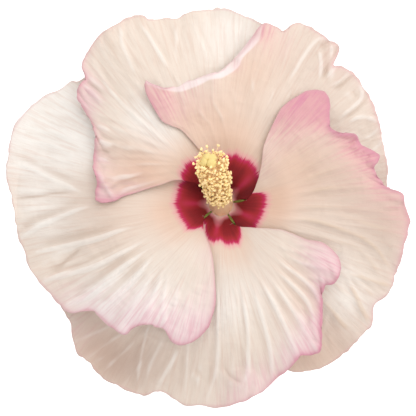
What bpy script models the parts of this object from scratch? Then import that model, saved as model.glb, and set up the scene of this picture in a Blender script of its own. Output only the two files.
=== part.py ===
"""A rose mallow flower, picked with a stub of its stalk and lying face up.

Lengths are in millimetres until a mesh is made, which is in metres. +Z is up, and the origin is under the
middle of the flower, on the surface that its petals rest on.
"""

import math
import random
from collections import namedtuple

import bmesh
import bpy
from mathutils import Matrix, Vector

METRES = 0.001  # metres in a millimetre

# The photograph looks straight down at the flower
PHOTO_SCALE = 0.45  # millimetres to a pixel: the flower is 181 mm wide
PHOTO_ORIGIN = (205.7, 207.0)  # the pixel over the model's origin
PHOTO_AXIS = (208.0, 208.0)  # the pixel that the camera looks straight down on
PHOTO_CENTRE = (221.0, 204.0)  # the pixel where the petals meet
CAMERA_HEIGHT = 1052.0
TRUE_HEIGHT = 12.0  # things this far above the table have their true size in the photograph

# Petals
PETAL_THICKNESS = 0.6
CLAW_RADIUS = 6.2  # where the petals' lower faces start, round the column
SLIT_ANGLE = 4.0  # degrees that each claw stands back from the middle of the slit beside it
PETAL_COLUMNS = 28
PETAL_ROWS = 10
RUFFLE = 1.5  # how far the waves of a petal's margin rise and fall
# Height of a petal's lower face over the table at each distance from the middle of the flower
PETAL_PROFILE = [(6.2, 9.0), (7.6, 12.8), (9.5, 16.7), (12.4, 20), (16.3, 22.9), (22.3, 25.9), (32, 28.4),
                 (45, 28.4), (60, 24.9), (75, 16.9), (92, 4.9)]
# How far the side that lies on top is lifted there, and how far the other side is lowered
LAYER_LIFT = [(6, 0), (9, 0.3), (12, 1.5), (20, 3.2), (40, 6.5), (60, 9.5), (90, 11)]

# Column, pistil, calyx and stalk
COLUMN_FOOT = 9.0  # height of the column's foot
COLUMN_TURN = -14.0  # degrees from +Y, clockwise, of the way that the column leans
COLUMN_TILT = 33.0  # degrees off upright, beyond its bend
COLUMN_BEND = 15.0  # length over which it bends
# Radius, and distance along the column
TUBE_OUTSIDE = [(5.2, 0), (4.7, 3), (3.3, 7), (2.7, 11), (2.4, 15), (2.2, 26), (1.9, 41)]
TUBE_INSIDE = [(1.15, 41), (1.15, 26), (1.15, 15), (1.15, 11), (1.2, 7), (3.7, 3.5), (3.7, 0)]
STAMENS = 60
STAMEN_FIRST = 13.5  # distance along the tube of the lowest filaments
STAMEN_LAST = 40.0
FILAMENT_LENGTH = 6.2
FILAMENT_WIDTH = 0.5
FILAMENT_ROOT = 0.8  # length of filament sunk in the tube
ANTHER_SIZE = (1.7, 1.3, 1.1)
STYLE_WIDTH = 1.3
STYLE_LENGTH = 43.0
BRANCH_LENGTH = 4.6
STIGMA_WIDTH = 3.2
OVARY = [(3.2, 0.3), (3.3, 1.2), (2.8, 2.6), (0.8, 4.6)]
# Height of the calyx's upper face at each distance from the middle
CALYX_PROFILE = [(6.6, 7.8), (7.7, 10.3), (8.7, 13.2), (10.4, 16), (13, 17.9), (18, 19.9), (27, 21.7)]
CALYX_THICKNESS = 0.8
CALYX_CLEFT = 13.0  # distance from the middle to the clefts between its lobes
CALYX_TIP = 26.5
CALYX_LOBES = 5
CALYX_TURN = 6.0
BRACTLETS = 11
BRACTLET_PATH = [(5.2, 5.6), (10, 6.8), (16, 9.8), (23, 14.6)]
BRACTLET_WIDTH = 2.4
BRACTLET_THICKNESS = 0.8
EPICALYX_RING = [(6.4, 5.0), (6.4, 6.2), (4.9, 6.2), (4.9, 5.0)]
STALK = [(2.0, 0.8), (2.0, 3.2), (2.9, 4.6), (4.1, 5.6), (4.6, 6.6), (6.0, 7.4), (6.0, 8.7)]

# A bump is centred on a pixel of the photograph: its reach is in millimetres there, and its height is up
Bump = namedtuple("Bump", "pixel reach height")
# A curl turns the margin up or down between two shares of its length, over a width inside the margin
Curl = namedtuple("Curl", "start end width height")
# claw: angles of its clockwise and counter-clockwise edges, in degrees from +X
# over: the counter-clockwise edge, which lies on top, as pixels from the claw to the corner
# margin: the outer edge, clockwise from that corner, as pixels
# hidden: the end of the outer edge that lies under the next petal, as angles and distances (mm)
# droop: how far the margin on that side hangs below the common profile, so that it rests on the table
Petal = namedtuple("Petal", "name claw over margin hidden bumps curls wave droop")

PETALS = [
    Petal(
        "petal_left",
        (140, 218),
        [(204, 215), (203, 225), (206, 238), (210, 247), (213, 260), (215, 280), (216, 300), (211, 321)],
        [(209, 327), (200, 337), (187, 344), (174, 342), (163, 330), (146, 324.5), (134, 327), (125, 335),
         (112, 327), (99, 315), (89, 309.5), (73, 313), (62, 306), (44, 286), (31, 271), (26, 255),
         (16, 228), (12, 203), (7, 181), (5, 170), (8.5, 150), (12, 132), (26, 111), (45, 96), (60, 89),
         (71, 80.5), (79, 81)],
        [(131, 80), (125.5, 69), (124, 54)],
        [Bump((112, 300), 9, 2.5), Bump((60, 240), 10, -2), Bump((150, 310), 7, 2)],
        [],
        0.2,
        11,
    ),
    Petal(
        "petal_upper_left",
        (75, 140),
        [(178, 180), (160, 185), (137, 192.5), (122, 197), (114, 201), (103, 203)],
        [(96, 200), (96, 190), (98, 181), (93, 170), (95, 158), (98, 138), (97, 131), (90, 121), (85, 109),
         (76, 100), (79.5, 85), (86, 78), (81.5, 66), (88, 52), (100, 34), (113, 25), (130, 17.5),
         (143, 16), (150, 20), (164, 18), (178, 18), (190, 11.5), (207, 10), (224, 9), (238, 13),
         (260, 23.5)],
        [(69, 80), (63, 70), (61, 54)],
        [Bump((98, 185), 6, 3), Bump((96, 122), 7, 2.5)],
        [Curl(0.9, 1.0, 5, 3)],
        0.7,
        15,
    ),
    Petal(
        "petal_upper_right",
        (9, 75),
        [(199, 149), (190, 139), (180, 129), (172, 126), (161, 120), (153, 107), (147, 95), (144.5, 85)],
        [(146, 80.5), (152, 84), (163, 87), (172, 87), (186, 82), (202, 77), (220, 71.5), (228, 64),
         (240, 55), (250, 43), (258.5, 29), (265, 24), (276, 27), (284, 32), (291, 25), (301, 23),
         (314, 30), (331, 41), (339, 48), (337, 57), (332, 66), (342, 67.5), (353, 74), (365, 89),
         (374, 110), (382.5, 137), (387.5, 170), (386, 192)],
        [(-2, 71), (-6.5, 63), (-8, 50)],
        [Bump((325, 80), 9, -2), Bump((345, 112), 9, 2)],
        [Curl(0.62, 1.0, 5, -7)],
        0.35,
        17,
    ),
    Petal(
        "petal_right",
        (-56, 9),
        [(258, 180), (261, 167), (264, 145), (270, 130), (280, 110), (288, 102), (298, 96)],
        [(305, 92), (315, 90.5), (326, 94), (330, 104), (329.5, 114), (332, 130), (342, 133), (355, 134),
         (361, 145), (378, 154), (378, 162), (374, 168), (384, 186), (400, 192), (405, 203), (408.5, 224),
         (403, 250), (394, 277), (390, 292), (374, 305), (370.5, 326), (348, 349), (324, 367),
         (300, 372.5), (285, 369)],
        [(-73, 75), (-76, 65), (-76.5, 51)],
        [Bump((300, 112), 9, 3), Bump((350, 152), 7, -2.5), Bump((362, 300), 9, 2)],
        [],
        0.9,
        14,
    ),
    Petal(
        "petal_lower",
        (218, 304),
        [(233, 224), (238, 226.5), (250, 227.5), (270, 228.5), (285, 230.5), (306, 239), (321, 242),
         (333, 251)],
        [(338, 257), (341, 270), (334, 283), (323, 288), (322, 303), (322, 325), (321, 349), (312, 355),
         (300, 356), (290, 369), (276, 377), (263, 392), (240, 402), (222, 406), (200, 405), (183, 404),
         (165, 392), (156, 391), (143, 395), (124, 388), (104, 379.5), (93, 367), (78, 353), (72, 338),
         (70, 322), (62, 308)],
        [(206, 81), (202, 71), (201, 54)],
        [Bump((318, 266), 8, 3), Bump((316, 315), 8, -3), Bump((258, 372), 7, -2), Bump((232, 380), 7, 1.5)],
        [],
        0.55,
        13,
    ),
]


def along(stations, place):
    """A smooth curve through (place, value) stations that never overshoots between them."""
    places = [station[0] for station in stations]
    values = [station[1] for station in stations]
    last = len(places) - 1
    if place <= places[0]:
        return values[0]
    if place >= places[last]:
        return values[last]
    steps = [(values[i + 1] - values[i]) / (places[i + 1] - places[i]) for i in range(last)]

    def slope(i):
        if i == 0 or i == last:
            return steps[min(i, last - 1)]
        before, after = steps[i - 1], steps[i]
        return 0.0 if before * after <= 0 else 2 * before * after / (before + after)

    i = next(i for i in range(last) if place <= places[i + 1])
    width = places[i + 1] - places[i]
    t = (place - places[i]) / width
    rise = values[i + 1] - values[i]
    start = values[i] + t * t * (3 - 2 * t) * rise
    return start + width * t * (1 - t) * ((1 - t) * slope(i) - t * slope(i + 1))


def smooth_step(low, high, value):
    """0 up to low, 1 from high, and smooth between."""
    t = min(max((value - low) / (high - low), 0.0), 1.0)
    return t * t * (3 - 2 * t)


def spline(points, per_span=8):
    """Points along a smooth curve through all the given ones."""
    curve = []
    for i in range(len(points) - 1):
        before = points[max(i - 1, 0)]
        start = points[i]
        end = points[i + 1]
        after = points[min(i + 2, len(points) - 1)]
        for step in range(per_span):
            t = step / per_span
            curve.append(start + 0.5 * t * ((end - before) + t * ((2 * before - 5 * start + 4 * end - after)
                         + t * (3 * (start - end) + after - before))))
    curve.append(points[-1])
    return curve


def at_share(curve, share):
    """The point that lies a share of the way along a curve, by its length."""
    lengths = [(b - a).length for a, b in zip(curve, curve[1:])]
    left = share * sum(lengths)
    for a, b, length in zip(curve, curve[1:], lengths):
        if left <= length:
            return a.lerp(b, left / length)
        left -= length
    return curve[-1].copy()


def from_photo(pixel, origin=PHOTO_CENTRE):
    """A pixel's place in millimetres, from another pixel."""
    return Vector(((pixel[0] - origin[0]) * PHOTO_SCALE, (origin[1] - pixel[1]) * PHOTO_SCALE))


def to_model(point, height):
    """The model's point that is seen at a place measured from the middle of the flower."""
    nearer = (CAMERA_HEIGHT - height) / (CAMERA_HEIGHT - TRUE_HEIGHT)
    axis = from_photo(PHOTO_AXIS)
    seen = axis + (point - axis) * nearer
    middle = from_photo(PHOTO_CENTRE, PHOTO_ORIGIN)
    return Vector((seen.x + middle.x, seen.y + middle.y, height))


def polar(distance, turn):
    """The flat point at a distance and a turn in radians from +X."""
    return Vector((distance * math.cos(turn), distance * math.sin(turn)))


def angle_of(point, near):
    """A point's angle in degrees, within half a turn of the one given."""
    angle = math.degrees(math.atan2(point.y, point.x))
    return angle + 360 * round((near - angle) / 360)


class Blade:
    """A petal's outline as a rule: share across (0 to 1) and share outwards (0 to 1) to a place."""

    def __init__(self, petal):
        self.petal = petal
        self.middle = sum(petal.claw) / 2
        outer = [from_photo(pixel) for pixel in petal.margin]
        outer += [polar(distance, math.radians(angle)) for angle, distance in petal.hidden]
        self.margin = spline(outer[::-1])
        claw = (petal.claw[0] + SLIT_ANGLE, petal.claw[1] - SLIT_ANGLE)
        corner = outer[0]
        over = [from_photo(pixel) for pixel in petal.over] + [corner]
        self.over = [(CLAW_RADIUS, claw[1]), (CLAW_RADIUS + 3, claw[1])]
        self.over += [(p.length, angle_of(p, self.middle)) for p in over if p.length > CLAW_RADIUS + 5]
        reach = outer[-1].length
        under_angle = angle_of(outer[-1], self.middle)
        self.under = [(CLAW_RADIUS, claw[0]), (CLAW_RADIUS + 3, claw[0]),
                      (0.5 * reach, under_angle + 0.15 * (claw[0] - under_angle)), (reach, under_angle)]
        self.claw = claw

    def place(self, across, outward):
        """The distance and the angle in degrees from the middle of the flower."""
        rim = at_share(self.margin, across)
        rim_angle = angle_of(rim, self.middle)
        distance = CLAW_RADIUS + (rim.length - CLAW_RADIUS) * outward
        angle = (1 - outward) * (self.claw[0] + (self.claw[1] - self.claw[0]) * across) + outward * rim_angle
        sides = ((self.margin[0], self.under, self.claw[0], 1 - across),
                 (self.margin[-1], self.over, self.claw[1], across))
        for corner, edge, claw, weight in sides:
            reach = CLAW_RADIUS + (corner.length - CLAW_RADIUS) * outward
            straight = (1 - outward) * claw + outward * angle_of(corner, self.middle)
            angle += weight * (along(edge, reach) - straight)
        return distance, angle

    def height(self, across, outward, distance, point):
        """The lower face's height over the table."""
        lift = along(LAYER_LIFT, distance) * (2 * across - 1)
        waves = math.sin(2 * math.pi * (5 * across + self.petal.wave))
        waves += 0.6 * math.sin(2 * math.pi * (8.6 * across + 2.3 * self.petal.wave))
        height = along(PETAL_PROFILE, distance) + lift + RUFFLE * outward**5 * waves
        low_side = 1 - smooth_step(0.1, 0.5, across)
        height -= self.petal.droop * smooth_step(0.4, 0.87, outward) * low_side
        for bump in self.petal.bumps:
            away = (point - from_photo(bump.pixel)).length / bump.reach
            height += bump.height * math.exp(-away * away)
        inside = distance * (1 / max(outward, 0.01) - 1)
        for curl in self.petal.curls:
            ends = smooth_step(curl.start - 0.06, curl.start + 0.02, across)
            ends *= 1 - smooth_step(curl.end - 0.02, curl.end + 0.06, across) * (curl.end < 1)
            height += curl.height * ends * max(1 - inside / curl.width, 0) ** 2
        return max(height, 0.0)

    def point(self, across, outward):
        """The model's point on the petal's lower face."""
        distance, angle = self.place(across, outward)
        flat = polar(distance, math.radians(angle))
        return to_model(flat, self.height(across, outward, distance, flat))


def new_object(name, mesh, collection):
    """An object for a mesh, in a collection."""
    thing = bpy.data.objects.new(name, mesh)
    collection.objects.link(thing)
    return thing


def mesh_from(shape, name):
    """A mesh in metres from a bmesh in millimetres."""
    bmesh.ops.scale(shape, vec=(METRES, METRES, METRES), verts=shape.verts)
    mesh = bpy.data.meshes.new(name)
    shape.to_mesh(mesh)
    shape.free()
    mesh.shade_smooth()
    return mesh


def finish_of(name, colour, roughness):
    """A plain material."""
    material = bpy.data.materials.new(name)
    material.use_nodes = True
    shader = material.node_tree.nodes["Principled BSDF"]
    shader.inputs["Base Color"].default_value = (*colour, 1)
    shader.inputs["Roughness"].default_value = roughness
    shader.inputs["Metallic"].default_value = 0.0
    return material


def bend(point):
    """A point measured from the column's foot, along its straight axis +Z, where the bent column has it."""
    full = math.radians(COLUMN_TILT)
    bent = min(max(point.z, 0.0), COLUMN_BEND)
    radius = COLUMN_BEND / full
    tilt = bent / radius
    lean = radius * (1 - math.cos(tilt)) + math.sin(tilt) * (point.z - bent)
    rise = radius * math.sin(tilt) + math.cos(tilt) * (point.z - bent)
    leaning = Vector((point.x, lean + point.y * math.cos(tilt), rise - point.y * math.sin(tilt)))
    turned = Matrix.Rotation(math.radians(-COLUMN_TURN), 3, "Z") @ leaning
    middle = to_model(Vector((0, 0)), COLUMN_FOOT)
    return middle + turned


def turned_shape(name, profile, sides, collection):
    """A profile of (radius, height) turned round the Z axis, as a bmesh."""
    mesh = bpy.data.meshes.new(name)
    edges = [(i, i + 1) for i in range(len(profile) - 1)]
    mesh.from_pydata([(radius, 0, height) for radius, height in profile], edges, [])
    thing = new_object(name, mesh, collection)
    screw = thing.modifiers.new("turn", "SCREW")
    screw.steps = sides
    screw.render_steps = sides
    screw.use_merge_vertices = True
    screw.merge_threshold = 0.0001
    shape = bmesh.new()
    shape.from_mesh(evaluated_mesh(thing))
    bpy.data.objects.remove(thing)
    bmesh.ops.remove_doubles(shape, verts=shape.verts, dist=0.001)
    bmesh.ops.recalc_face_normals(shape, faces=shape.faces)
    return shape


def evaluated_mesh(thing):
    """The mesh of an object with its modifiers applied."""
    bpy.context.view_layer.update()
    graph = bpy.context.evaluated_depsgraph_get()
    return bpy.data.meshes.new_from_object(thing.evaluated_get(graph))


def fuse(name, body, pieces, material, parts):
    """One solid from a body and the pieces that grow from it."""
    repeats = bpy.data.collections.new(name + "_repeats")
    bpy.context.scene.collection.children.link(repeats)
    for number, piece in enumerate(pieces):
        new_object(f"{name}_{number}", mesh_from(piece, name), repeats)
    whole = new_object(name, mesh_from(body, name), parts)
    union = whole.modifiers.new("union", "BOOLEAN")
    union.operation = "UNION"
    union.operand_type = "COLLECTION"
    union.collection = repeats
    union.solver = "MANIFOLD"
    joined = evaluated_mesh(whole)
    whole.modifiers.clear()
    whole.data = joined
    for piece in list(repeats.objects):
        bpy.data.objects.remove(piece)
    bpy.data.collections.remove(repeats)
    joined.materials.clear()
    joined.materials.append(material)


def petal(kind, material, parts):
    """A waved blade: a grid of triangles laid on the petal's lower face, thickened upwards."""
    blade = Blade(kind)
    shape = bmesh.new()
    bmesh.ops.create_grid(shape, x_segments=PETAL_COLUMNS, y_segments=PETAL_ROWS, size=0.5)
    bmesh.ops.triangulate(shape, faces=shape.faces, quad_method="SHORT_EDGE")
    for vertex in shape.verts:
        across = 0.5 - vertex.co.x
        outward = max(0.5 - vertex.co.y, 0.0) ** 1.35
        vertex.co = blade.point(across, outward)
    bmesh.ops.recalc_face_normals(shape, faces=shape.faces)
    if sum(face.normal.z for face in shape.faces) < 0:
        bmesh.ops.reverse_faces(shape, faces=shape.faces)
    thing = new_object(kind.name, mesh_from(shape, kind.name), parts)
    thing.data.materials.append(material)
    shell = thing.modifiers.new("thickness", "SOLIDIFY")
    shell.thickness = PETAL_THICKNESS * METRES
    shell.offset = 1


def stamen(number, draw):
    """A filament with its anther: the filament leaves the tube outwards and a little upwards."""
    share = number / (STAMENS - 1)
    start = STAMEN_FIRST + (STAMEN_LAST - STAMEN_FIRST) * share
    turn = math.radians(137.508 * number + draw.uniform(-12, 12))
    rise = math.radians(draw.uniform(5, 30) + 25 * share + 28 * (1 - share) * max(math.sin(turn), 0))
    length = FILAMENT_LENGTH * draw.uniform(0.85, 1.15)
    way = Vector((math.cos(turn) * math.cos(rise), math.sin(turn) * math.cos(rise), math.sin(rise)))
    surface = along([(height, radius) for radius, height in TUBE_OUTSIDE], start)
    root = Vector((math.cos(turn) * (surface - FILAMENT_ROOT), math.sin(turn) * (surface - FILAMENT_ROOT), start))
    tip = root + way * (length + FILAMENT_ROOT)
    straight = way.to_track_quat("Z", "Y").to_matrix().to_4x4()
    filament = bmesh.new()
    bmesh.ops.create_cone(filament, cap_ends=True, segments=4, radius1=FILAMENT_WIDTH / 2,
                          radius2=FILAMENT_WIDTH / 2, depth=length + FILAMENT_ROOT,
                          matrix=Matrix.Translation((root + tip) / 2) @ straight)
    anther = bmesh.new()
    bmesh.ops.create_icosphere(anther, subdivisions=1, radius=0.5,
                               matrix=Matrix.Translation(tip) @ straight @ Matrix.Diagonal((*ANTHER_SIZE, 1)))
    return [filament, anther]


def stamen_column(material, parts):
    """The tube round the style, with its filaments and anthers, bent as one."""
    profile = TUBE_OUTSIDE[::-1] + TUBE_INSIDE[::-1] + [TUBE_OUTSIDE[-1]]
    tube = turned_shape("tube", profile, 14, parts)
    draw = random.Random(7)
    pieces = [piece for number in range(STAMENS) for piece in stamen(number, draw)]
    for shape in [tube] + pieces:
        for vertex in shape.verts:
            vertex.co = bend(vertex.co)
    fuse("stamen_column", tube, pieces, material, parts)


def pistil(material, parts):
    """The ovary in the foot of the tube, the style up through it, and five branches with their lobes."""
    style = [(STYLE_WIDTH / 2, height) for height in (7, 11, 15, 26, STYLE_LENGTH)]
    profile = [(0, OVARY[0][1])] + OVARY + style + [(0, STYLE_LENGTH)]
    body = turned_shape("style", profile[::-1], 10, parts)
    pieces = []
    for number in range(5):
        turn = math.radians(72 * number + 20)
        way = Vector((math.cos(turn) * 0.75, math.sin(turn) * 0.75, 0.66))
        root = Vector((0, 0, STYLE_LENGTH - 1))
        tip = root + way * BRANCH_LENGTH
        straight = way.to_track_quat("Z", "Y").to_matrix().to_4x4()
        branch = bmesh.new()
        bmesh.ops.create_cone(branch, cap_ends=True, segments=6, radius1=0.5, radius2=0.4,
                              depth=BRANCH_LENGTH, matrix=Matrix.Translation((root + tip) / 2) @ straight)
        lobe = bmesh.new()
        bmesh.ops.create_icosphere(lobe, subdivisions=2, radius=STIGMA_WIDTH / 2,
                                   matrix=Matrix.Translation(tip) @ straight @ Matrix.Diagonal((1, 1, 0.6, 1)))
        pieces += [branch, lobe]
    for shape in [body] + pieces:
        for vertex in shape.verts:
            vertex.co = bend(vertex.co)
    fuse("pistil", body, pieces, material, parts)


def calyx(material, parts):
    """A cup under the petals that opens into five pointed lobes."""
    sides = 60
    rows = 8
    shape = bmesh.new()
    bmesh.ops.create_grid(shape, x_segments=sides, y_segments=rows, size=0.5)
    bmesh.ops.triangulate(shape, faces=shape.faces, quad_method="SHORT_EDGE")
    inner = CALYX_PROFILE[0][0]
    for vertex in shape.verts:
        share = vertex.co.x + 0.5
        outward = vertex.co.y + 0.5
        lobe = abs(2 * ((share * CALYX_LOBES) % 1) - 1)
        reach = CALYX_CLEFT + (CALYX_TIP - CALYX_CLEFT) * smooth_step(0, 1, lobe) * (0.4 + 0.6 * lobe)
        distance = inner + (reach - inner) * outward
        turn = math.radians(CALYX_TURN) + 2 * math.pi * share
        flat = polar(distance, turn)
        vertex.co = to_model(flat, along(CALYX_PROFILE, distance))
    bmesh.ops.remove_doubles(shape, verts=shape.verts, dist=0.001)
    bmesh.ops.recalc_face_normals(shape, faces=shape.faces)
    if sum(face.normal.z for face in shape.faces) < 0:
        bmesh.ops.reverse_faces(shape, faces=shape.faces)
    thing = new_object("calyx", mesh_from(shape, "calyx"), parts)
    thing.data.materials.append(material)
    shell = thing.modifiers.new("thickness", "SOLIDIFY")
    shell.thickness = CALYX_THICKNESS * METRES
    shell.offset = -1


def bractlet(number):
    """A narrow blade that leaves the epicalyx's ring and curves upwards to a point, as a closed bmesh."""
    shape = bmesh.new()
    bmesh.ops.create_cube(shape, size=1)
    bmesh.ops.subdivide_edges(shape, edges=[e for e in shape.edges if abs((e.verts[0].co - e.verts[1].co).x) > 0.5],
                              cuts=5, use_grid_fill=True)
    path = [Vector(place) for place in BRACTLET_PATH]
    curve = spline(path)
    turn = Matrix.Rotation(2 * math.pi * number / BRACTLETS, 2)
    for vertex in shape.verts:
        share = vertex.co.x + 0.5
        centre = at_share(curve, share)
        width = BRACTLET_WIDTH * math.sin(math.pi * (0.2 + 0.75 * share))
        side = turn @ Vector((centre.x, vertex.co.y * width))
        vertex.co = to_model(side, centre.y + vertex.co.z * BRACTLET_THICKNESS)
    return shape


def epicalyx(material, parts):
    """A ring under the calyx with its narrow bractlets."""
    ring = turned_shape("ring", EPICALYX_RING[::-1] + [EPICALYX_RING[-1]], 22, parts)
    for vertex in ring.verts:
        vertex.co = to_model(vertex.co.xy, vertex.co.z)
    pieces = [bractlet(number) for number in range(BRACTLETS)]
    fuse("epicalyx", ring, pieces, material, parts)


def stalk(material, parts):
    """The cut stalk, which widens into the seat of all the other pieces."""
    profile = [(0, STALK[0][1])] + STALK + [(0, STALK[-1][1])]
    shape = turned_shape("pedicel", profile[::-1], 20, parts)
    for vertex in shape.verts:
        vertex.co = to_model(vertex.co.xy, vertex.co.z)
    thing = new_object("pedicel", mesh_from(shape, "pedicel"), parts)
    thing.data.materials.append(material)


def main():
    for thing in list(bpy.data.objects):
        bpy.data.objects.remove(thing)
    parts = bpy.data.collections.new("rose_mallow_flower")
    bpy.context.scene.collection.children.link(parts)
    petal_finish = finish_of("petal", (0.90, 0.78, 0.72), 0.6)
    stamen_finish = finish_of("stamen", (0.90, 0.72, 0.42), 0.6)
    pistil_finish = finish_of("stigma", (0.88, 0.80, 0.40), 0.5)
    sepal_finish = finish_of("sepal", (0.20, 0.30, 0.08), 0.6)
    stalk_finish = finish_of("stalk", (0.26, 0.36, 0.12), 0.6)
    for kind in PETALS:
        petal(kind, petal_finish, parts)
    stamen_column(stamen_finish, parts)
    pistil(pistil_finish, parts)
    calyx(sepal_finish, parts)
    epicalyx(sepal_finish, parts)
    stalk(stalk_finish, parts)


main()
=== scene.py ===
"""The looks of a rose mallow flower that lies face up on a table.

Lengths are in millimetres until a mesh is made, which is in metres. The petals, the column and the green
parts follow the same rules as the solids that they replace, with finer meshes.
"""

import math
import random
from collections import namedtuple

import bmesh
import bpy
import numpy as np
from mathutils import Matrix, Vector


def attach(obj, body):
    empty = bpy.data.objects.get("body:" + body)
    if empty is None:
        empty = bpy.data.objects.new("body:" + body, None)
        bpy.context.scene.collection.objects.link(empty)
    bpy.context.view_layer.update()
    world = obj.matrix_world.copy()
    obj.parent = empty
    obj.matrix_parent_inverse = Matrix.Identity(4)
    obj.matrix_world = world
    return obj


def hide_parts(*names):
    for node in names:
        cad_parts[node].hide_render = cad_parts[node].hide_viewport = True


METRES = 0.001  # metres in a millimetre

# The photograph looks straight down at the flower
PHOTO_SCALE = 0.45  # millimetres to a pixel
PHOTO_ORIGIN = (205.7, 207.0)
PHOTO_AXIS = (208.0, 208.0)
PHOTO_CENTRE = (221.0, 204.0)
PHOTO_WIDTH = 416
CAMERA_HEIGHT = 1052.0
TRUE_HEIGHT = 12.0
SENSOR_WIDTH = 36.0

# Petals
PETAL_THICKNESS = 0.42
CLAW_RADIUS = 5.2
SLIT_ANGLE = 4.0
PETAL_COLUMNS = 280
PETAL_ROWS = 145
ROW_CROWDING = 0.95  # power of the rows' places, which crowds them a little towards the margin
RELAXATIONS = 80
RIM_BLUR = 22  # of 401 places along a margin, for how far its lines reach
ANGLE_BLUR = 14
BAY_POWER = 7  # how near the margin the blade takes up the margin's own bays
RUFFLE = 1.5
PETAL_PROFILE = [
    (5.2, 10.2), (6.2, 11.0), (7.6, 13.0), (9.5, 16.7), (12.4, 20), (16.3, 22.9), (22.3, 25.9), (32, 28.4),
    (45, 28.4), (60, 24.9), (75, 16.9), (92, 4.9)]
LAYER_LIFT = [(6, 0), (9, 0.3), (12, 1.5), (20, 3.2), (40, 6.5), (60, 9.5), (90, 11)]
UPPER_LIFT = 0.55  # of the lift where a petal lies over the next
TABLE_SOFTNESS = 1.7
CREASE_HEIGHT = 0.72
CREASE_WIDTH = 0.95  # half width of a crease's crest
RIBS = 15
RIB_HEIGHT = 0.22
RIB_WIDTH = 0.8  # half width of a rib's crest
PLEAT_HEIGHT = 0.3
PLEATS = 30  # shallow folds across a petal
CRUMPLE = 0.6
CRINKLE = 0.16  # height of the fine creases across the ribs
FRILL_HEIGHT = 1.1
FRILL_POWER = 12
FOLD_DROP = 4.5
FOLD_WIDTH = 4.0
RIM_WIDTH = 1.45  # of the deeper pink along a margin
NIBBLE = 0.55  # unevenness of the margin
# Painted shade on a petal beside the free side of the next petal, which lies over it
TUCK_START = 13  # pixels from the middle to where one petal's free side begins to lie over the next
TUCK_WIDTH = 2.2

# Column, pistil, calyx and stalk
COLUMN_FOOT = 9.0
COLUMN_TURN = -14.0
COLUMN_TILT = 33.0
COLUMN_BEND = 15.0
COLUMN_LENGTH = 41.0
COLUMN_FLUTES = 0.035
TUBE_OUTSIDE = [(5.9, 0), (5.5, 1.2), (4.7, 3), (3.3, 7), (2.7, 11), (2.4, 15), (2.2, 26), (1.9, 41)]
TUBE_INSIDE = [(1.15, 41), (1.15, 26), (1.15, 15), (1.15, 11), (1.2, 7), (3.7, 3.5), (3.7, 0)]
STAMENS = 620
STAMEN_TURN = 137.508
STAMEN_FIRST = 11.8
STAMEN_LAST = 40.5
STAMEN_CROWDING = 1.45
FILAMENT_LENGTHS = (2.2, 6.7)  # at the bottom and at the top of the column
FILAMENT_RADIUS = 0.16
FILAMENT_ROOT = 0.3  # length sunk in the tube
ANTHER_LENGTH = 1.58
ANTHER_FORM = (0.5, 0.36, 0.34)  # half sizes of an anther, to its length
STYLE_WIDTH = 1.3
STYLE_LENGTH = 42.2
BRANCH_RADIUS = 0.42
STIGMAS = [  # from the style
    (-1.6, 1.4, 4.1), (-3.1, -0.6, 3.6), (0.9, 0.2, 4.2), (0.1, -2.4, 4.0), (-1.2, -0.8, 3.5)]
STIGMA_WIDTH = 4.0
OVARY = [(3.2, 0.3), (3.3, 1.2), (2.8, 2.6), (0.8, 4.6)]
CALYX_PROFILE = [(6.6, 7.8), (7.7, 10.3), (8.7, 13.2), (10.4, 16), (13, 17.9), (18, 19.9), (27, 21.7)]
CALYX_THICKNESS = 0.7
CALYX_CLEFT = 13.0
CALYX_TIP = 26.5
CALYX_LOBES = 5
CALYX_TURN = 6.0
CALYX_HAIRS = 320
HAIR_RADIUS = 0.06
SLIT_FILL = 0.75  # half width of the green part in a slit between two claws
SLIT_REACH = (5.3, 10.6)
TUFTS = [(231.5, 224.5), (202.5, 216.5), (247.5, 200), (193.5, 180)]
BRACTLETS = 11
BRACTLET_PATH = [(5.2, 5.6), (10, 6.8), (16, 9.8), (23, 14.6)]
BRACTLET_WIDTH = 2.4
BRACTLET_THICKNESS = 0.8
EPICALYX_RING = [(6.4, 5.0), (6.4, 6.2), (4.9, 6.2), (4.9, 5.0)]
STALK = [(2.0, 0.8), (2.0, 3.2), (2.9, 4.6), (4.1, 5.6), (4.6, 6.6), (6.0, 7.4), (6.0, 8.7)]

# Light
KEY_WAY = (0.55, 0.66, 1.05)  # towards the light: up and to the right of the photograph
KEY_STRENGTH = 1.40
KEY_ANGLE = 60.0
KEY_COLOUR = (1.0, 0.985, 0.96)
SKY_STRENGTH = 1.07
SKY_COLOUR = (1.0, 0.99, 0.98, 1)

# Colours
PETAL_TONE = 0.88  # of the petals' colours
CREAM = (0.87, 0.765, 0.675)
# The petals' palest own colour, also used for painted light and for painted highlights on crease ridges
PALE_AND_HIGHLIGHT_WHITE = (0.98, 0.95, 0.91)
# Beige of the broad vein streaks, also painted shade in the crease valleys
BEIGE_AND_VALLEY_SHADE = (0.60, 0.46, 0.36)
STREAK_TAN = (0.74, 0.52, 0.42)
HAIR_TAN = (0.72, 0.48, 0.38)
MOTTLE = (0.82, 0.66, 0.60)
# Painted shade: the colour of the shade spots, which paint cast shadow and shade onto the petals
PAINTED_SHADE_BROWN = (0.50, 0.34, 0.27)
PEACH = (0.85, 0.55, 0.40)
# Painted shade under an overlapping petal's free side, outside the eye
TUCK_SHADE_TAN = (0.76, 0.58, 0.40)
PINK = (0.77, 0.42, 0.44)
DEEP_PINK = (0.72, 0.30, 0.41)
EDGE_PINK = (0.74, 0.46, 0.46)
# Painted light on the lip turned down beyond the fold
LIP_PAINTED_LIGHT = (0.98, 0.87, 0.87)
FEATHER_PINK = (0.93, 0.40, 0.46)
MAGENTA = (0.66, 0.03, 0.14)
STREAK_RED = (0.74, 0.05, 0.16)
CRIMSON = (0.47, 0.028, 0.040)
DARK_CRIMSON = (0.25, 0.017, 0.021)
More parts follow.
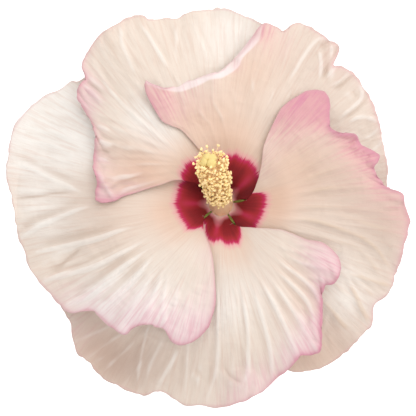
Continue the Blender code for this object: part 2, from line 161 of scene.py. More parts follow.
# Painted shadow under an overlapping petal's free side, inside the eye
TUCK_SHADE_CRIMSON = (0.12, 0.010, 0.014)
STAR_PINK = (1.0, 0.76, 0.68)
GOLD = (0.78, 0.61, 0.46)
DOWN_WHITE = (0.86, 0.88, 0.76)
ANTHER_TONES = ((1.0, 0.74, 0.45), (1.0, 0.80, 0.38))
STIGMA_TONES = ((0.83, 0.66, 0.47), (0.81, 0.64, 0.25))
SEPAL_TONES = ((0.26, 0.33, 0.06), (0.34, 0.42, 0.10))
STALK_TONES = ((0.24, 0.34, 0.10), (0.30, 0.36, 0.14))
FLOOR_TONES = ((0.60, 0.60, 0.60), (0.62, 0.62, 0.62))
FLOOR_GLOW = (1.0, 1.0, 0.995)

# claw: the angles of a petal's sides where it leaves the middle, in degrees from +X
# over: its free side as pixels, from the claw to the corner; margin: its outer edge from there on
# hidden: the rest of the outer edge, under the next petal, as angles and distances
# fold: the line that a lip turns down along; creases: a strength, and pixels from the eye outwards
# eye: how many pixels the eye reaches at angles; wave: where the ruffles start; droop: of the low side
# Spots of height, colour, painted light, painted shade and frill are (x, y, reach, strength), with x and y in
# pixels
# crest: the colour painted along the creases' ridges, a painted highlight where it is pale and a gold-beige
# line on the right petal
# pale spots: the petals' own whiteness, and painted light where shade falls on them
# shade spots: painted shade, such as the left petal's cast shadow on the lower petal
Petal = namedtuple("Petal", """
    name claw over margin hidden bumps fold wave droop creases valley eye blush crest rim pink peach pale
    shade frills seed""")

LEFT = Petal(
    name="petal_left", claw=(140, 218), wave=0.2, droop=11, valley=1.4, blush=(0.95, 0.76, 0.79),
    crest=PALE_AND_HIGHLIGHT_WHITE, seed=11,
    over=[(204, 215), (203, 225), (206, 238), (210, 247), (213, 260), (215, 280), (216, 300), (211, 321)],
    margin=[(209, 327), (200, 337), (187, 344), (174, 342), (163, 330), (146, 324.5), (134, 327),
        (125, 335), (112, 327), (99, 315), (89, 309.5), (73, 313), (62, 306), (44, 286), (31, 271),
        (26, 255), (16, 228), (12, 203), (7, 181), (5, 170), (8.5, 150), (12, 132), (26, 111), (45, 96),
        (60, 89), (71, 80.5), (79, 81)],
    hidden=[(131, 80), (125.5, 69), (124, 54)],
    bumps=[(112, 300, 9, 2.5), (60, 240, 10, -2), (150, 310, 7, 2), (84, 100, 17, 6)],
    fold=[],
    creases=[(1.3, (100, 204), (80, 209), (60, 217), (40, 226), (22, 237)),
        (1.3, (140, 224), (120, 230), (100, 238), (80, 243), (60, 247), (38, 252)),
        (1.5, (157, 231), (140, 243), (120, 254), (100, 264), (80, 271), (60, 276), (45, 279)),
        (1.6, (158, 241), (140, 255), (122, 268), (105, 283), (88, 296), (68, 304)),
        (1.6, (158, 250), (146, 265), (132, 282), (117, 297), (103, 311)),
        (0.9, (160, 260), (151, 277), (141, 293), (131, 310), (122, 328)),
        (1.0, (165, 262), (158, 285), (151, 303), (141, 321)),
        (0.9, (170, 268), (165, 290), (163, 308), (166, 328)), (0.7, (180, 280), (176, 300), (172, 325)),
        (0.35, (190, 275), (187, 300), (185, 330)), (0.3, (200, 280), (198, 300), (196, 325)),
        (0.6, (95, 258), (80, 261), (62, 266)), (-1.0, (86, 244), (72, 256), (57, 269)),
        (0.5, (100, 285), (85, 290), (66, 297)), (0.4, (90, 278), (75, 287), (62, 296)),
        (0.7, (78, 156), (58, 147), (42, 142), (20, 139)), (0.5, (88, 166), (60, 160), (30, 157)),
        (1.0, (92, 197), (72, 188), (50, 178), (28, 167), (14, 163)),
        (-1.0, (85, 194), (60, 193), (40, 196), (13, 199)), (0.5, (78, 106), (60, 101), (45, 96)),
        (0.5, (75, 118), (55, 111), (38, 105)), (0.5, (80, 131), (55, 122), (30, 114)),
        (0.5, (84, 142), (55, 133), (22, 126)), (0.4, (90, 180), (65, 172), (40, 163)),
        (0.4, (85, 206), (50, 208), (18, 212))],
    eye=[(138, 45), (151, 46.5), (165, 46.5), (180, 47), (195, 45), (204, 42.5), (216, 42.5), (224, 37),
        (231, 31)],
    rim=[(209, 327, 14, 0.5), (180, 343, 16, 0.5), (150, 324, 16, 0.4), (120, 332, 14, 0.4),
        (92, 310, 14, 0.35), (62, 306, 14, 0.3), (215, 290, 16, 0.4), (208, 250, 14, 0.25),
        (20, 150, 20, 0.12)],
    pink=[(208, 325, 12, 0.26), (185, 337, 14, 0.33), (150, 318, 15, 0.28), (122, 322, 13, 0.2),
        (92, 303, 12, 0.14), (62, 298, 11, 0.15), (211, 290, 8, 0.2), (206, 255, 7, 0.15)],
    peach=[(165, 215, 10, 0.4), (120, 215, 14, 0.15)],
    pale=[(45, 220, 16, 0.6), (52, 118, 26, 1.0), (24, 160, 14, 0.5), (145, 318, 22, 0.8),
        (105, 312, 16, 0.9), (80, 130, 14, 0.8)],
    shade=[(80, 215, 26, 0.05), (100, 211, 14, 0.16), (85, 240, 18, 0.05), (42, 180, 20, 0.1)],
    frills=[(150, 325, 12, 0.5), (100, 312, 10, 0.4)])
UPPER_LEFT = Petal(
    name="petal_upper_left", claw=(75, 140), wave=0.7, droop=15, valley=0.9, blush=(0.87, 0.66, 0.67),
    crest=PALE_AND_HIGHLIGHT_WHITE, seed=23,
    over=[(178, 180), (160, 185), (137, 192.5), (122, 197), (114, 201), (103, 203)],
    margin=[(96, 200), (96, 190), (98, 181), (93, 170), (94, 158), (95.5, 145), (95, 133), (91, 121),
        (84.5, 109), (77.5, 98), (79.5, 85), (86, 78), (81.5, 66), (88, 52), (100, 34), (113, 25),
        (130, 17.5), (143, 16), (150, 20), (164, 18), (178, 18), (190, 11.5), (207, 10), (224, 9),
        (238, 13), (260, 23.5)],
    hidden=[(69, 80), (63, 70), (61, 54)],
    bumps=[(98, 185, 6, 2), (125, 192, 16, -3), (95, 145, 24, -4), (85, 90, 16, -2), (250, 38, 22, 5)],
    fold=[],
    creases=[(0.62, (188, 159), (170, 146), (150, 129), (132, 113), (116, 97), (104, 80), (93, 62)),
        (0.65, (140, 82), (133, 68), (127, 55), (122, 42), (121, 28)),
        (0.65, (171, 78), (165, 64), (158, 51), (150, 38), (140, 24)),
        (0.5, (177, 75), (176, 50), (178, 22)), (0.6, (209, 70), (206, 52), (199, 38), (193, 24)),
        (0.5, (208, 52), (207, 35), (207, 14)), (0.4, (232, 62), (236, 40), (241, 18)),
        (0.4, (122, 62), (112, 55), (102, 42)), (0.25, (150, 112), (128, 88), (110, 62)),
        (0.35, (175, 152), (150, 142), (125, 132), (104, 122)),
        (0.35, (178, 157), (150, 152), (125, 148), (102, 140)),
        (0.35, (180, 162), (150, 158), (125, 157), (100, 155)),
        (0.3, (176, 165), (150, 164), (128, 166), (100, 165)),
        (0.3, (170, 170), (140, 174), (118, 180), (103, 190)),
        (0.4, (172, 176), (150, 181), (128, 189), (115, 198)),
        (-0.45, (155, 171), (138, 177), (118, 184), (111, 190)), (-0.3, (165, 184), (142, 189), (121, 197)),
        (-0.7, (104, 96), (95, 88), (86, 82)), (0.8, (106, 108), (97, 97), (87, 88), (82, 84)),
        (0.6, (112, 132), (104, 128), (97, 126)), (0.6, (114, 147), (105, 143), (97, 141)),
        (-0.6, (113, 153), (104, 151), (96, 150)), (0.6, (114, 160), (105, 159), (95, 160)),
        (-0.5, (113, 167), (104, 168), (94, 169)), (0.9, (97, 163), (100, 176), (106, 187), (114, 199))],
    eye=[(75, 46), (95, 49), (119, 51), (130, 53.5), (140, 51.5), (148, 47)],
    rim=[(108, 201, 12, 0.6), (97, 185, 14, 0.6), (95, 155, 14, 0.55), (96, 128, 12, 0.12),
        (82, 103, 12, 0.6), (82, 75, 10, 0.5), (100, 38, 16, 0.2), (145, 193, 14, 0.25)],
    pink=[(101, 195, 7, 0.45), (98, 165, 7, 0.28), (99, 135, 7, 0.12), (88, 98, 8, 0.4), (86, 75, 6, 0.15),
        (135, 195, 8, 0.12), (130, 176, 10, 0.12)],
    peach=[(150, 175, 12, 0.5), (127, 171, 15, 0.35), (110, 190, 10, 0.25)],
    pale=[(150, 120, 14, 0.75), (165, 145, 8, 0.4), (235, 35, 20, 0.7)],
    shade=[(90, 96, 7, 0.22), (132, 174, 16, 0.12), (100, 150, 10, 0.08), (102, 196, 5, 0.1),
        (200, 35, 30, 0.05)],
    frills=[(90, 100, 12, 1.0), (98, 150, 12, 0.8), (98, 190, 9, 0.8)])
UPPER_RIGHT = Petal(
    name="petal_upper_right", claw=(9, 75), wave=0.35, droop=17, valley=1.0, blush=(0.86, 0.6, 0.54),
    crest=PALE_AND_HIGHLIGHT_WHITE, seed=37,
    over=[(199, 149), (190, 139), (180, 129), (172, 126), (161, 120), (153, 107), (147, 95), (144.5, 85)],
    margin=[(146, 80.5), (152, 84), (163, 87), (172, 87), (186, 82), (202, 77), (220, 71.5), (228, 64),
        (240, 55), (250, 43), (258.5, 29), (265, 24), (276, 27), (284, 32), (291, 25), (301, 23), (314, 30),
        (331, 41), (339, 48), (337, 57), (332, 66), (342, 67.5), (353, 74), (365, 89), (374, 110),
        (382.5, 137), (387.5, 170), (386, 192)],
    hidden=[(-2, 71), (-6.5, 63), (-8, 50)],
    bumps=[(325, 80, 9, -2), (345, 112, 9, 2), (158, 105, 22, -2.6), (365, 130, 22, 5)],
    fold=[(143, 80), (148, 84.5), (160, 89), (172, 92), (183, 91.5), (200, 85), (210, 80), (223, 77.5),
        (238, 68), (243, 58), (254, 47), (260, 40), (262, 32), (262, 22)],
    creases=[(0.8, (282, 92), (294, 73), (304, 56), (316, 41), (327, 38)),
        (1.0, (318, 86), (321, 66), (319, 50)), (-1.2, (321, 82), (328, 66), (336, 51)),
        (0.9, (325, 74), (331, 58), (331, 43)), (-0.8, (328, 92), (340, 85), (351, 76)),
        (0.7, (328, 89), (342, 80), (350, 72)),
        (1.0, (333, 124), (346, 113), (358, 103), (362, 94), (360, 86)),
        (-0.6, (340, 121), (352, 112), (364, 102)), (0.7, (333, 134), (348, 134), (360, 137)),
        (0.7, (345, 124), (356, 118), (368, 118), (376, 120)), (0.7, (358, 142), (370, 136), (379, 127)),
        (-0.6, (350, 88), (356, 98)), (-0.6, (368, 112), (379, 118)),
        (0.5, (365, 155), (375, 148), (383, 140)), (0.3, (258, 120), (275, 90), (285, 60), (292, 30)),
        (0.25, (244, 130), (250, 95), (262, 60), (268, 30)), (0.2, (236, 120), (236, 95), (240, 70)),
        (0.2, (225, 125), (215, 100))],
    eye=[(20, 47), (33, 48), (45, 50.5), (62, 52), (75, 52), (83, 49.5)],
    rim=[(146, 90, 12, 0.6), (165, 120, 12, 0.35), (256, 33, 8, 0.5), (320, 36, 16, 0.2),
        (350, 75, 14, 0.2), (380, 135, 20, 0.25)],
    pink=[(149, 95, 10, 0.45), (162, 114, 10, 0.38), (178, 103, 12, 0.22), (260, 32, 6, 0.6),
        (233, 63, 4, 0.5), (200, 85, 10, 0.15), (275, 45, 12, 0.2), (335, 60, 9, 0.15)],
    peach=[(200, 120, 14, 0.32), (230, 125, 16, 0.3), (250, 100, 16, 0.1), (240, 70, 12, 0.25),
        (265, 60, 14, 0.22), (175, 120, 10, 0.35), (235, 145, 9, 0.2)],
    pale=[],
    shade=[(345, 100, 16, 0.12), (308, 60, 20, 0.2), (375, 140, 12, 0.06), (165, 105, 12, 0.08)],
    frills=[(185, 85, 18, -0.3), (225, 68, 14, -0.2), (330, 50, 12, 0.5)])
RIGHT = Petal(
    name="petal_right", claw=(-56, 9), wave=0.9, droop=14, valley=1.0, blush=(0.84, 0.57, 0.52), crest=GOLD,
    seed=41,
    over=[(258, 180), (261, 167), (264, 145), (270, 130), (280, 110), (288, 102), (298, 96)],
    margin=[(305, 92), (315, 90.5), (326, 94), (330, 104), (329.5, 114), (332, 130), (342, 133), (355, 134),
        (361, 145), (378, 154), (378, 162), (374, 168), (384, 186), (400, 192), (405, 203), (408.5, 224),
        (403, 250), (394, 277), (390, 292), (374, 305), (370.5, 326), (348, 349), (324, 367), (300, 372.5),
        (285, 369)],
    hidden=[(-73, 75), (-76, 65), (-76.5, 51)],
    bumps=[(300, 112, 9, 2), (302, 98, 16, -3), (350, 152, 7, -2.5), (362, 300, 9, 2), (335, 325, 24, 6)],
    fold=[],
    creases=[(0.45, (278, 188), (300, 172), (320, 158), (340, 146), (356, 138)),
        (0.35, (285, 192), (310, 179), (330, 171), (352, 166)),
        (0.5, (283, 197), (310, 191), (340, 188), (368, 187), (392, 194)),
        (0.45, (275, 212), (300, 208), (340, 208), (375, 211), (400, 216)),
        (0.7, (272, 219), (300, 219), (322, 223), (342, 230), (362, 238), (378, 251), (392, 272)),
        (0.8, (343, 272), (360, 277), (376, 282), (390, 286)),
        (0.8, (342, 268), (351, 286), (360, 305), (368, 324)), (0.5, (330, 305), (340, 322), (356, 329)),
        (0.6, (346, 270), (362, 286), (374, 297)), (0.4, (345, 240), (365, 255), (380, 275)),
        (0.4, (300, 213), (340, 216), (380, 228), (402, 238)), (0.3, (380, 208), (398, 204)),
        (-0.4, (380, 212), (400, 209)), (0.4, (325, 330), (332, 345), (335, 358)),
        (0.3, (330, 290), (325, 320), (312, 360)), (0.3, (272, 170), (285, 140), (298, 110)),
        (0.25, (285, 160), (300, 135), (312, 105)), (0.25, (290, 170), (312, 145), (325, 120)),
        (-0.9, (347, 146), (354, 141)), (-0.9, (352, 152), (359, 147)), (-0.9, (358, 157), (364, 152)),
        (-0.9, (363, 162), (370, 156)), (-0.8, (368, 165), (376, 160))],
    eye=[(-45, 38), (-30, 43), (-16, 43.5), (0, 46), (10, 47.5), (15, 45), (19, 35), (25, 27)],
    rim=[(292, 100, 12, 0.5), (328, 100, 12, 0.8), (332, 125, 12, 0.8), (355, 140, 12, 0.8),
        (375, 162, 12, 0.9), (392, 190, 12, 0.6), (406, 220, 14, 0.45), (403, 255, 14, 0.4),
        (372, 318, 16, 0.25)],
    pink=[(298, 98, 11, 0.8), (320, 100, 10, 0.8), (284, 115, 10, 0.5), (326, 118, 7, 0.6),
        (350, 140, 7, 0.55), (368, 155, 7, 0.7), (380, 178, 6, 0.35), (400, 207, 8, 0.25),
        (404, 230, 8, 0.2), (276, 140, 10, 0.22), (306, 132, 12, 0.12), (263, 165, 7, 0.15),
        (378, 190, 12, 0.3), (350, 152, 14, 0.22)],
    peach=[(290, 180, 16, 0.4), (300, 150, 16, 0.3), (275, 210, 10, 0.4), (350, 180, 18, 0.2),
        (330, 345, 14, 0.25), (300, 365, 12, 0.25)],
    pale=[(350, 300, 14, 0.6), (330, 260, 10, 0.4)],
    shade=[(370, 310, 9, 0.18), (348, 351, 6, 0.15), (315, 371, 7, 0.2), (393, 228, 13, 0.36),
        (362, 172, 24, 0.22), (385, 205, 20, 0.12), (345, 205, 24, 0.1), (347, 148, 14, 0.16),
        (305, 105, 14, 0.14), (330, 345, 12, 0.12), (385, 275, 10, 0.1)],
    frills=[(365, 155, 12, 1.6), (330, 115, 9, 0.7), (395, 195, 9, 0.6)])
LOWER = Petal(
    name="petal_lower", claw=(218, 304), wave=0.55, droop=13, valley=1.0, blush=(0.88, 0.66, 0.69),
    crest=PALE_AND_HIGHLIGHT_WHITE, seed=53,
    over=[(233, 224), (238, 226.5), (250, 227.5), (270, 228.5), (285, 230.5), (306, 239), (321, 242),
        (333, 251)],
    margin=[(338, 257), (341, 270), (334, 283), (323, 288), (322, 303), (322, 325), (321, 349), (312, 355),
        (300, 356), (290, 369), (276, 377), (263, 392), (240, 402), (222, 406), (200, 405), (183, 404),
        (165, 392), (156, 391), (143, 395), (124, 388), (104, 379.5), (93, 367), (78, 353), (72, 338),
        (70, 322), (62, 308)],
    hidden=[(206, 81), (202, 71), (201, 54)],
    bumps=[(318, 266, 8, 2), (300, 245, 14, -1.5), (316, 315, 8, -3), (258, 372, 7, -2),
        (232, 380, 7, 1.5)],
    fold=[],
    creases=[(0.8, (216, 258), (217, 300), (218, 340), (216, 370), (211, 388), (206, 399)),
        (0.4, (216, 372), (221, 386), (226, 400)),
        (0.9, (239, 275), (245, 310), (248, 340), (247, 372), (239, 388)),
        (0.9, (250, 278), (260, 310), (267, 335), (271, 360), (272, 380)),
        (0.85, (258, 275), (274, 304), (286, 330), (297, 356)),
        (0.85, (264, 270), (284, 297), (300, 322), (316, 350)),
        (0.9, (268, 263), (290, 283), (305, 299), (313, 318), (315, 332)),
        (0.85, (274, 258), (295, 273), (312, 288), (319, 302)), (0.5, (280, 252), (302, 263), (332, 270)),
        (0.35, (272, 243), (292, 251), (322, 258)), (0.4, (290, 243), (312, 247), (328, 252)),
        (0.5, (300, 275), (320, 279), (332, 281)), (0.75, (193, 310), (188, 345), (187, 368), (185, 396)),
        (0.6, (158, 300), (146, 335), (140, 365), (137, 391)),
        (0.45, (192, 325), (178, 352), (166, 370), (156, 387)),
        (0.5, (145, 318), (115, 338), (100, 348), (86, 358)),
        (0.5, (150, 325), (128, 348), (112, 362), (100, 376)),
        (0.45, (130, 316), (105, 328), (90, 335), (76, 342)),
        (0.5, (172, 320), (160, 345), (150, 365), (146, 388)), (0.3, (200, 352), (199, 375), (194, 398)),
        (0.3, (232, 340), (233, 365), (230, 395)), (-0.7, (222, 362), (230, 376), (242, 383)),
        (-0.4, (252, 365), (262, 380)), (-0.5, (193, 366), (203, 378)),
        (-0.7, (300, 305), (308, 318), (306, 328)), (-0.6, (306, 336), (320, 344))],
    eye=[(233, 27), (240, 32), (249, 37.5), (257, 40), (268, 37), (278, 42), (294, 43), (304, 37),
        (311, 30), (317, 24)],
    rim=[(338, 268, 14, 0.55), (322, 295, 14, 0.9), (321, 325, 14, 0.95), (316, 352, 12, 0.8),
        (292, 368, 12, 0.6), (264, 391, 14, 0.45), (235, 404, 14, 0.3), (312, 243, 12, 0.35)],
    # The pink spot at (80, 326) tints the painted shadow that the left petal casts here
    pink=[(330, 266, 9, 0.5), (312, 250, 9, 0.25), (320, 290, 6, 0.3), (316, 325, 7, 0.36),
        (308, 350, 8, 0.32), (288, 362, 9, 0.25), (262, 385, 10, 0.22), (235, 400, 10, 0.18),
        (245, 378, 10, 0.12), (304, 322, 12, 0.1), (298, 345, 10, 0.06), (80, 326, 14, 0.16)],
    peach=[(300, 290, 14, 0.2), (300, 330, 14, 0.2), (100, 350, 14, 0.3)],
    pale=[(240, 295, 18, 0.22), (215, 310, 14, 0.5), (280, 300, 14, 0.35), (300, 343, 12, 0.7)],
    shade=[(93, 342, 14, 0.17), (115, 355, 12, 0.26), (112, 373, 10, 0.27), (75, 350, 10, 0.15),
        (145, 350, 9, 0.25), (222, 370, 13, 0.1), (140, 378, 12, 0.25), (173, 362, 12, 0.2),
        (255, 260, 14, 0.08), (233, 380, 4, 0.22)],
    frills=[(330, 275, 9, 1.0), (318, 345, 10, 0.6), (250, 390, 14, 0.5)])
PETALS = (LEFT, UPPER_LEFT, UPPER_RIGHT, RIGHT, LOWER)


# Curves and places

def along(stations, place):
    """A smooth curve through (place, value) stations, at one place or many."""
    places, values = np.array(stations, float).T
    steps = np.diff(values) / np.diff(places)
    before, after = steps[:-1], steps[1:]
    total = np.where(before + after == 0, 1, before + after)
    inner = np.where(before * after <= 0, 0, 2 * before * after / total)
    slopes = np.concatenate([steps[:1], inner, steps[-1:]])
    place = np.clip(place, places[0], places[-1])
    i = np.clip(np.searchsorted(places, place, side="right") - 1, 0, len(steps) - 1)
    width = places[i + 1] - places[i]
    t = (place - places[i]) / width
    start = values[i] + t * t * (3 - 2 * t) * (values[i + 1] - values[i])
    return start + width * t * (1 - t) * ((1 - t) * slopes[i] - t * slopes[i + 1])


def by_height(profile):
    """A profile of (radius, height) as stations from the height to the radius."""
    return [(height, radius) for radius, height in profile]


def smooth_step(low, high, value):
    """0 up to low, 1 from high, and smooth between."""
    t = np.clip((value - low) / (high - low), 0, 1)
    return t * t * (3 - 2 * t)


def bell(value):
    """1 at 0, and down to 0 a few units to each side."""
    return np.exp(-(value**2))


def spline(points, per_span=8):
    """Points along a smooth curve through all the given ones, as rows."""
    points = np.array(points, float)
    ends = np.vstack([points[:1], points, points[-1:]])
    t = (np.arange(per_span) / per_span)[:, None]
    spans = []
    for before, start, end, after in zip(ends, ends[1:], ends[2:], ends[3:]):
        bow = 2 * before - 5 * start + 4 * end - after
        swing = 3 * (start - end) + after - before
        spans.append(start + 0.5 * t * (end - before + t * (bow + t * swing)))
    return np.vstack(spans + [points[-1:]])


def lengths_of(curve):
    """The length along a curve up to each of its points."""
    return np.concatenate([[0], np.cumsum(np.linalg.norm(np.diff(curve, axis=0), axis=1))])


def at_shares(curve, shares):
    """The points that lie at shares of the way along a curve, by its length."""
    lengths = lengths_of(curve)
    places = np.asarray(shares) * lengths[-1]
    return np.stack([np.interp(places, lengths, curve[:, axis]) for axis in range(curve.shape[1])], -1)


def from_photo(pixel, origin=PHOTO_CENTRE):
    """A pixel's place in millimetres, from another pixel."""
    return np.array(((pixel[0] - origin[0]) * PHOTO_SCALE, (origin[1] - pixel[1]) * PHOTO_SCALE))


def drawn(pixels):
    """A smooth curve through pixels of the photograph."""
    return spline([from_photo(pixel) for pixel in pixels], 4)


def to_model(x, y, height):
    """The model's points that are seen at places measured from the middle of the flower."""
    nearer = (CAMERA_HEIGHT - height) / (CAMERA_HEIGHT - TRUE_HEIGHT)
    axis = from_photo(PHOTO_AXIS)
    middle = from_photo(PHOTO_CENTRE, PHOTO_ORIGIN)
    seen = (axis[0] + (x - axis[0]) * nearer + middle[0], axis[1] + (y - axis[1]) * nearer + middle[1])
    return np.stack([*np.broadcast_arrays(seen[0], seen[1], height)], -1)


def flat(distance, angle):
    """The x and y of places given by distances and by angles in degrees."""
    return distance * np.cos(np.radians(angle)), distance * np.sin(np.radians(angle))


def angles_of(points, near):
    """The points' angles in degrees, within half a turn of the one given."""
    angles = np.degrees(np.arctan2(points[..., 1], points[..., 0]))
    return angles + 360 * np.round((near - angles) / 360)


def sideways(angle):
    """Each point's share of the angle between the two sides of a grid's row."""
    return (angle - angle[:, :1]) / (angle[:, -1:] - angle[:, :1])


def cloud(x, y, seed):
    """Smooth noise from -1 to 1 with features about one unit wide, the same each run."""
    table = np.random.default_rng(seed).uniform(-1, 1, (64, 64))
    column, row = np.floor(x).astype(int), np.floor(y).astype(int)
    across, down = x - column, y - row
    across, down = across * across * (3 - 2 * across), down * down * (3 - 2 * down)
    corner = [[table[(row + j) % 64, (column + i) % 64] for i in (0, 1)] for j in (0, 1)]
    top = corner[0][0] * (1 - across) + corner[0][1] * across
    low = corner[1][0] * (1 - across) + corner[1][1] * across
    return top * (1 - down) + low * down


def waves(share, count, start):
    """Even waves along a side, so many to its length."""
    return np.sin(2 * np.pi * (count * share + start))


def blurred(values, reach):
    """A grid's values averaged over a square of neighbours."""
    for axis in (0, 1):
        if values.shape[axis] == 1:
            continue
        values = np.moveaxis(values, axis, 0)
        padded = np.concatenate([values[:1].repeat(reach, 0), values, values[-1:].repeat(reach, 0)])
        sums = np.concatenate([np.zeros_like(padded[:1]), np.cumsum(padded, 0)])
        values = np.moveaxis((sums[2 * reach + 1:] - sums[:-2 * reach - 1]) / (2 * reach + 1), 0, axis)
    return values


def nearest(path, x, y):
    """Each point's distance from a curve, its side (1 is counterclockwise) and its share of the way along."""
    lengths = lengths_of(path)
    near, side, place = np.full_like(x, 1e9), np.ones_like(x), np.zeros_like(x)
    for start, end, before in zip(path, path[1:], lengths):
        way = end - start
        length = np.hypot(*way)
        along_it = np.clip(((x - start[0]) * way[0] + (y - start[1]) * way[1]) / length**2, 0, 1)
        dx, dy = x - start[0] - along_it * way[0], y - start[1] - along_it * way[1]
        away = np.hypot(dx, dy)
        closer = away < near
        near = np.where(closer, away, near)
        side = np.where(closer, np.sign(way[0] * dy - way[1] * dx), side)
        place = np.where(closer, (before + along_it * length) / lengths[-1], place)
    return near, side, place


def spread(spots, x, y):
    """The sum of soft round spots at places measured from the middle of the flower."""
    total = np.zeros_like(x)
    for column, row, reach, strength in spots:
        at = from_photo((column, row))
        total = total + strength * np.exp(-((x - at[0]) ** 2 + (y - at[1]) ** 2) / reach**2)
    return total


# Petals

class Blade:
    """A petal's surface as a rule: share across (0 to 1) and share outwards (0 to 1) to a place."""

    def __init__(self, petal):
        self.petal = petal
        self.middle = sum(petal.claw) / 2
        outer = [from_photo(pixel) for pixel in petal.margin]
        outer += [np.array(flat(distance, angle)) for angle, distance in petal.hidden]
        self.margin = spline(outer[::-1])
        rims = at_shares(self.margin, np.linspace(0, 1, 401))
        self.plain_rim = blurred(blurred(np.hypot(rims[:, :1], rims[:, 1:]), RIM_BLUR), RIM_BLUR)[:, 0]
        angles = angles_of(rims, self.middle)[:, None]
        self.plain_angle = blurred(blurred(angles, ANGLE_BLUR), ANGLE_BLUR)[:, 0]
        outwards = np.abs(np.diff(np.hypot(rims[:, 0], rims[:, 1])))
        ways = outwards / np.linalg.norm(np.diff(rims, axis=0), axis=1)
        self.outward_way = blurred(ways[:, None], 5)[:, 0]
        self.claw = (petal.claw[0] + SLIT_ANGLE, petal.claw[1] - SLIT_ANGLE)
        over = np.array([from_photo(pixel) for pixel in petal.over] + [outer[0]])
        reaches = np.hypot(over[:, 0], over[:, 1])
        self.over = [(CLAW_RADIUS, self.claw[1]), (CLAW_RADIUS + 3, self.claw[1])]
        self.over += [(reach, angle) for reach, angle in zip(reaches, angles_of(over, self.middle))
                      if reach > CLAW_RADIUS + 5]
        reach = math.hypot(*outer[-1])
        corner = float(angles_of(outer[-1], self.middle))
        self.under = [(CLAW_RADIUS, self.claw[0]), (CLAW_RADIUS + 3, self.claw[0]),
                      (0.5 * reach, corner + 0.15 * (self.claw[0] - corner)), (reach, corner)]

    @staticmethod
    def even(across, values):
        """Values kept at even steps along the margin, at shares of its length."""
        return np.interp(across, np.linspace(0, 1, len(values)), values)

    def reach(self, across, outward):
        """The distance of points from the middle, which takes up the margin's bays only near the margin."""
        rim = at_shares(self.margin, across)
        rim = np.hypot(rim[..., 0], rim[..., 1])
        plain = self.even(across, self.plain_rim)
        return CLAW_RADIUS + (plain - CLAW_RADIUS) * outward + (rim - plain) * outward**BAY_POWER

    def calm(self, across):
        """1 where the margin runs round the flower, and near 0 where it runs outwards."""
        return 1 - 0.9 * self.even(across, self.outward_way)

    def fan(self, across, outward, claw):
        """Angles of lines that leave the claw evenly and reach the margin at shares of its length."""
        rim = angles_of(at_shares(self.margin, across), self.middle)
        plain = self.even(across, self.plain_angle)
        turned = 1 - (1 - outward) ** 2
        return (1 - turned) * claw + turned * plain + (rim - plain) * outward**BAY_POWER

    def place(self, across, outward):
        """Distances and angles in degrees from the middle of the flower."""
        distance = self.reach(across, outward)
        angle = self.fan(across, outward, self.claw[0] + (self.claw[1] - self.claw[0]) * across)
        sides = ((0.0, self.under, self.claw[0], 1 - across), (1.0, self.over, self.claw[1], across))
        for side, edge, claw, weight in sides:
            ends = np.full_like(outward, side)
            angle = angle + weight * (along(edge, self.reach(ends, outward)) - self.fan(ends, outward, claw))
        seed = self.petal.seed
        uneven = cloud(across * 45, outward, seed + 7) + 0.7 * cloud(across * 105, outward, seed + 8)
        distance = distance + NIBBLE * uneven * smooth_step(0.88, 1, outward) * self.calm(across)
        return self.relaxed(distance, angle, outward)

    def relaxed(self, distance, angle, outward):
        """The same grid with its cells evened out near the margin, so that none folds over another."""
        give = 0.9 * smooth_step(0.55, 0.85, outward)[1:-1, 1:-1]
        grid = np.stack(flat(distance, angle))
        for _ in range(RELAXATIONS):
            inner = grid[:, 1:-1, 1:-1]
            around = grid[:, :-2, 1:-1] + grid[:, 2:, 1:-1] + grid[:, 1:-1, :-2] + grid[:, 1:-1, 2:]
            grid[:, 1:-1, 1:-1] = inner + give * (around / 4 - inner)
        return np.hypot(grid[0], grid[1]), angles_of(np.moveaxis(grid, 0, -1), self.middle)

    def relief(self, across, outward, distance, angle):
        """Creases, ribs, pleats, crumples and frills above the plain blade, and the creases alone."""
        seed = self.petal.seed
        share = sideways(angle)
        x, y = flat(distance, angle)
        wander = cloud(share * 9, outward * 5, seed + 1)
        span = np.radians(angle[:, -1:] - angle[:, :1]) * distance
        away = (((share + 0.008 * wander) * RIBS) % 1 - 0.5) / RIBS * span
        uneven = 1 + 0.8 * cloud(share * 23, outward, seed)
        height = RIB_HEIGHT * bell(away / RIB_WIDTH) * smooth_step(0.2, 0.6, outward) * uneven
        pleats = cloud(share * PLEATS + 2 * wander, outward * 2.2, seed + 4)
        height = height + PLEAT_HEIGHT * pleats * smooth_step(0.3, 0.85, outward)
        for strength, *pixels in self.petal.creases:
            height = height + CREASE_HEIGHT * strength * crease(pixels, self.petal.valley, x, y)
        creases = height - blurred(height, 8)
        rough = cloud(x / 13 + 9, y / 13 + 5, seed + 2) + 0.5 * cloud(x / 6 + 3, y / 6 + 7, seed + 3)
        rough = rough + 0.3 * cloud(x / 2.6 + 3, y / 2.6 + 7, seed + 5)
        height = height + CRUMPLE * rough * smooth_step(0.3, 0.75, outward)
        crinkles = cloud(angle / 5, distance / 1.5, seed + 10) * smooth_step(0.35, 0.7, outward)
        height = height + CRINKLE * crinkles * (0.6 + cloud(x / 9, y / 9, seed + 11))
        frills = (0.45 + spread(self.petal.frills, x, y)) * self.calm(across)
        edge = 0.7 * waves(across, 17, 0.9 * wander) + 0.8 * cloud(across * 70, outward * 3, seed + 6)
        edge = edge + 0.5 * waves(across, 36, 0.7 * wander)
        return height + FRILL_HEIGHT * frills * edge * outward**FRILL_POWER, creases

